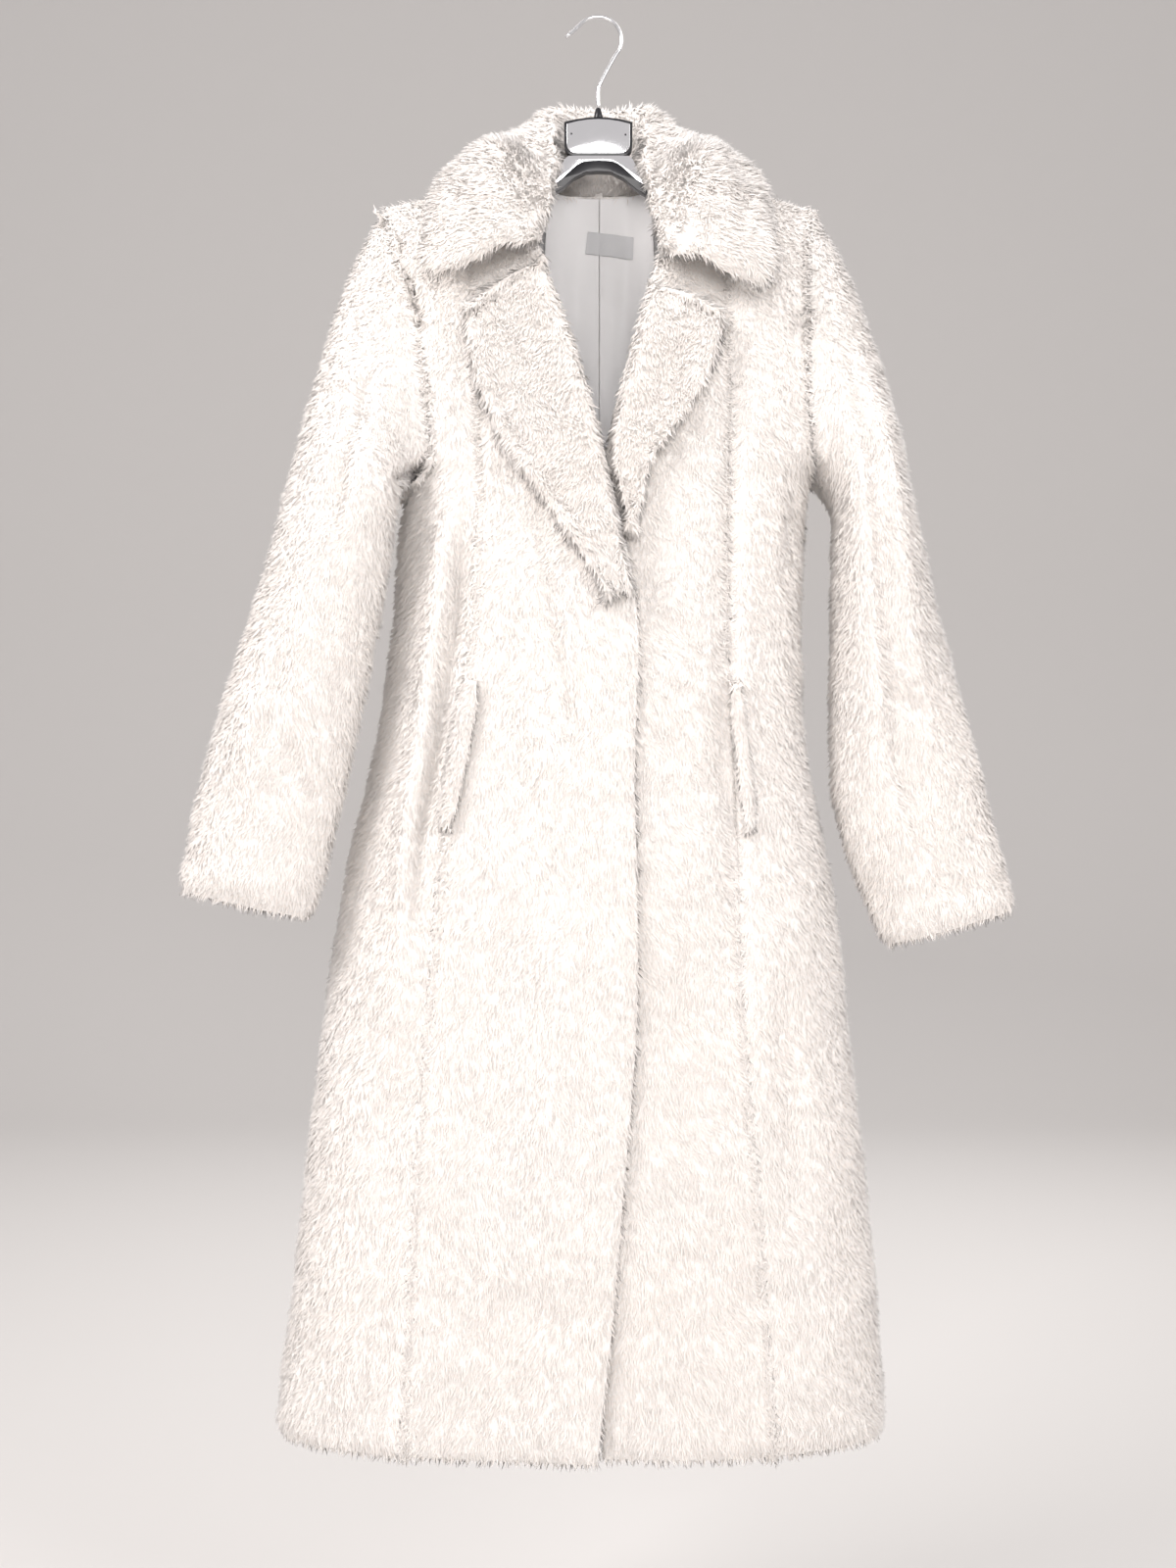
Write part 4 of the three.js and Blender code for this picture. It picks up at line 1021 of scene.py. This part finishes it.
def makeFurPanels():
    sheets = {node: openSheet(node, panel) for node, panel in furPanels.items()}
    edges = partEdges(sheets)
    for number, (node, panel) in enumerate(furPanels.items()):
        shell = furShell(node, panel, sheets[node], edges[node])
        seed = furSeeds["first"] + furSeeds["step"] * number
        fur = layFur(node, shell, panel["strands"], seed, edges[node]["seam"])
        for piece in (shell, fur):
            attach(piece, "root")
        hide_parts(node)
        cut = sum(face.area for face in shell.data.polygons) / 2
        print(f"fur panel {node}: {len(shell.data.polygons)} faces, {cut:.4f} square metres a side")
    print("fur laid")


# Satin lining where it shows in the neck, with soft folds that hang from the neckline

lining = {
    "lining_right": {"flat": (0.055, 0.30), "area": 0.0165},
    "lining_left": {"flat": (0.055, 0.30), "area": 0.0165},
}
liningFolds = [
    {"name": "seam", "depth": 1.0, "width": 2.2,
     "path": [(0, -136), (0, -250), (0, -400)]},
    {"name": "right pleat", "depth": -2.0, "width": 7,
     "path": [(-22, -150), (-19, -220), (-15, -330)]},
    {"name": "left pleat", "depth": -2.2, "width": 7,
     "path": [(26, -150), (22, -230), (15, -340)]},
    {"name": "right ridge", "depth": 1.6, "width": 6,
     "path": [(-36, -160), (-33, -220), (-27, -320)]},
    {"name": "left ridge", "depth": 1.4, "width": 6,
     "path": [(40, -165), (36, -230), (28, -310)]},
    {"name": "cross drag", "depth": -1.4, "width": 8,
     "path": [(-34, -196), (-8, -214), (18, -232), (36, -262)]},
]


satinCloth = {"rounds": 1, "liningEdge": 5 * mm, "labelEdge": 3 * mm, "shadeAngle": 60}


# Thin cloth on its whole solid, moved towards the front by the folds
def softCloth(node, name, longest):
    piece = copyOfNode(node, name)
    pairTriangles(piece)
    applyModifier(piece, "SUBSURF", {"levels": satinCloth["rounds"], "render_levels": satinCloth["rounds"]})
    splitLongEdges(piece, longest)
    places = readPoints(piece.data)
    places[:, 1] -= creaseRise(places, liningFolds)
    writePoints(piece.data, places)
    smoothShade(piece, satinCloth["shadeAngle"])
    return piece


def makeLining():
    for node, half in lining.items():
        piece = softCloth(node, node + "_satin", satinCloth["liningEdge"])
        piece.data.materials.append(materials["satin"])
        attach(piece, "root")
        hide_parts(node)
    print("lining made")


def makeLabel():
    piece = softCloth("neck_label", "neck_label_cloth", satinCloth["labelEdge"])
    piece.data.materials.append(materials["label"])
    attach(piece, "root")
    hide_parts("neck_label")
    print("label made")


# Hanger: each piece is its solid's form with rounded edges and a smooth skin

blackLook = {
    "dark": (0.010, 0.010, 0.012),
    "light": (0.022, 0.022, 0.026),
    "skin": {"Scale": 70.0, "Detail": 3.0},
    "roughness": 0.3,
    "specular": 0.25,
    "bump": 0.05,
    "bumpDepth": 0.6 * mm,
    "coat": 0.25,
    "coatRoughness": 0.08,
}


def glossBlackMaterial():
    material, nodes, links, surface = startMaterial("hangerBlack", blackLook["roughness"])
    surface.inputs["Specular IOR Level"].default_value = blackLook["specular"]
    place = addNode(nodes, "ShaderNodeTexCoord")
    skin = addNode(nodes, "ShaderNodeTexNoise", None, **blackLook["skin"])
    links.new(place.outputs["Object"], skin.inputs["Vector"])
    tone = blendColours(nodes, links, skin.outputs["Fac"], blackLook["dark"], blackLook["light"])
    links.new(tone.outputs["Color"], surface.inputs["Base Color"])
    addBump(nodes, links, surface, skin.outputs["Fac"], blackLook["bump"], blackLook["bumpDepth"])
    surface.inputs["Coat Weight"].default_value = blackLook["coat"]
    surface.inputs["Coat Roughness"].default_value = blackLook["coatRoughness"]
    return material


metalLook = {"dulled": 0.93, "detail": 4.0, "wearRoughness": 0.6, "bump": 0.04, "bumpDepth": 0.4 * mm}
metals = {
    "plate": {"name": "mirrorPlate", "colour": (0.90, 0.91, 0.94), "roughness": 0.10, "grain": 40.0},
    "wire": {"name": "chromeWire", "colour": (0.80, 0.81, 0.83), "roughness": 0.14, "grain": 90.0},
}


# Bright metal, a little duller in soft patches
def brightMetalMaterial(name, colour, roughness, grain):
    material, nodes, links, surface = startMaterial(name, roughness, colour)
    surface.inputs["Metallic"].default_value = 1
    place = addNode(nodes, "ShaderNodeTexCoord")
    patches = {"Scale": grain, "Detail": metalLook["detail"], "Roughness": metalLook["wearRoughness"]}
    wear = addNode(nodes, "ShaderNodeTexNoise", None, **patches)
    links.new(place.outputs["Object"], wear.inputs["Vector"])
    dulled = tuple(metalLook["dulled"] * part for part in colour)
    tone = blendColours(nodes, links, wear.outputs["Fac"], dulled, colour)
    links.new(tone.outputs["Color"], surface.inputs["Base Color"])
    addBump(nodes, links, surface, wear.outputs["Fac"], metalLook["bump"], metalLook["bumpDepth"])
    return material


hangerEdges = {"segments": 3, "limit_method": "ANGLE", "angle_limit": math.radians(50)}
hangerShadeAngle = 40
hangerPieces = {
    "hanger_hook": {"material": "wire", "slot": "hanger_wire", "round": 0},
    "hanger_ferrule": {"material": "black", "slot": "hanger_black", "round": 0.3 * mm},
    "hanger_frame": {"material": "black", "slot": "hanger_black", "round": 0.9 * mm},
    "hanger_plate": {"material": "plate", "slot": "hanger_plate", "round": 0.5 * mm},
    "hanger_shell": {"material": "plate", "slot": "hanger_plate", "round": 0.9 * mm},
    "hanger_body": {"material": "black", "slot": "hanger_black", "round": 1.6 * mm},
}


def makeHanger():
    for node, look in hangerPieces.items():
        piece = copyOfNode(node, node + "_finished")
        if look["round"]:
            applyModifier(piece, "BEVEL", {"width": look["round"], **hangerEdges})
        smoothShade(piece, hangerShadeAngle)
        piece.data.materials.append(materials[look["material"]])
        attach(piece, "root")
        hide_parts(node)
    print("hanger made")


rivets = {
    "radius": 0.9 * mm,
    "flatness": 0.45,
    "places": [(-23.7 * mm, -98.8 * mm), (21.4 * mm, -99.6 * mm)],
    "front": -6.5 * mm,
    "segments": 16,
    "rings": 8,
    "shadeAngle": 60,
}


# Two small dark rivets in the bright plate. The second is added in edit mode, so both are one mesh
def makeRivets():
    deselectAll()
    steps = {"segments": rivets["segments"], "ring_count": rivets["rings"]}
    flattened = (1, rivets["flatness"], 1)
    for number, (across, height) in enumerate(rivets["places"]):
        place = (across, rivets["front"], height)
        bpy.ops.mesh.primitive_uv_sphere_add(radius=rivets["radius"], location=place, scale=flattened, **steps)
        if number == 0:
            pair = bpy.context.object
            keepInPlace(pair)
            bpy.ops.object.mode_set(mode="EDIT")
    bpy.ops.object.mode_set(mode="OBJECT")
    pair.name = "hanger_rivets"
    smoothShade(pair, rivets["shadeAngle"])
    pair.data.materials.append(materials["black"])
    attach(pair, "root")
    print("rivets made")


# Everything is made, camera first

addCamera()
addLights()
addStudio()
print("camera, lights and studio made")

materials = {
    "pile": pileMaterial(),
    "backing": backingMaterial(),
    "satin": satinMaterial(**satins["satin"]),
    "label": satinMaterial(**satins["label"]),
    "black": glossBlackMaterial(),
    "plate": brightMetalMaterial(**metals["plate"]),
    "wire": brightMetalMaterial(**metals["wire"]),
}
makeFurPanels()
makeLining()
makeLabel()
makeHanger()
makeRivets()
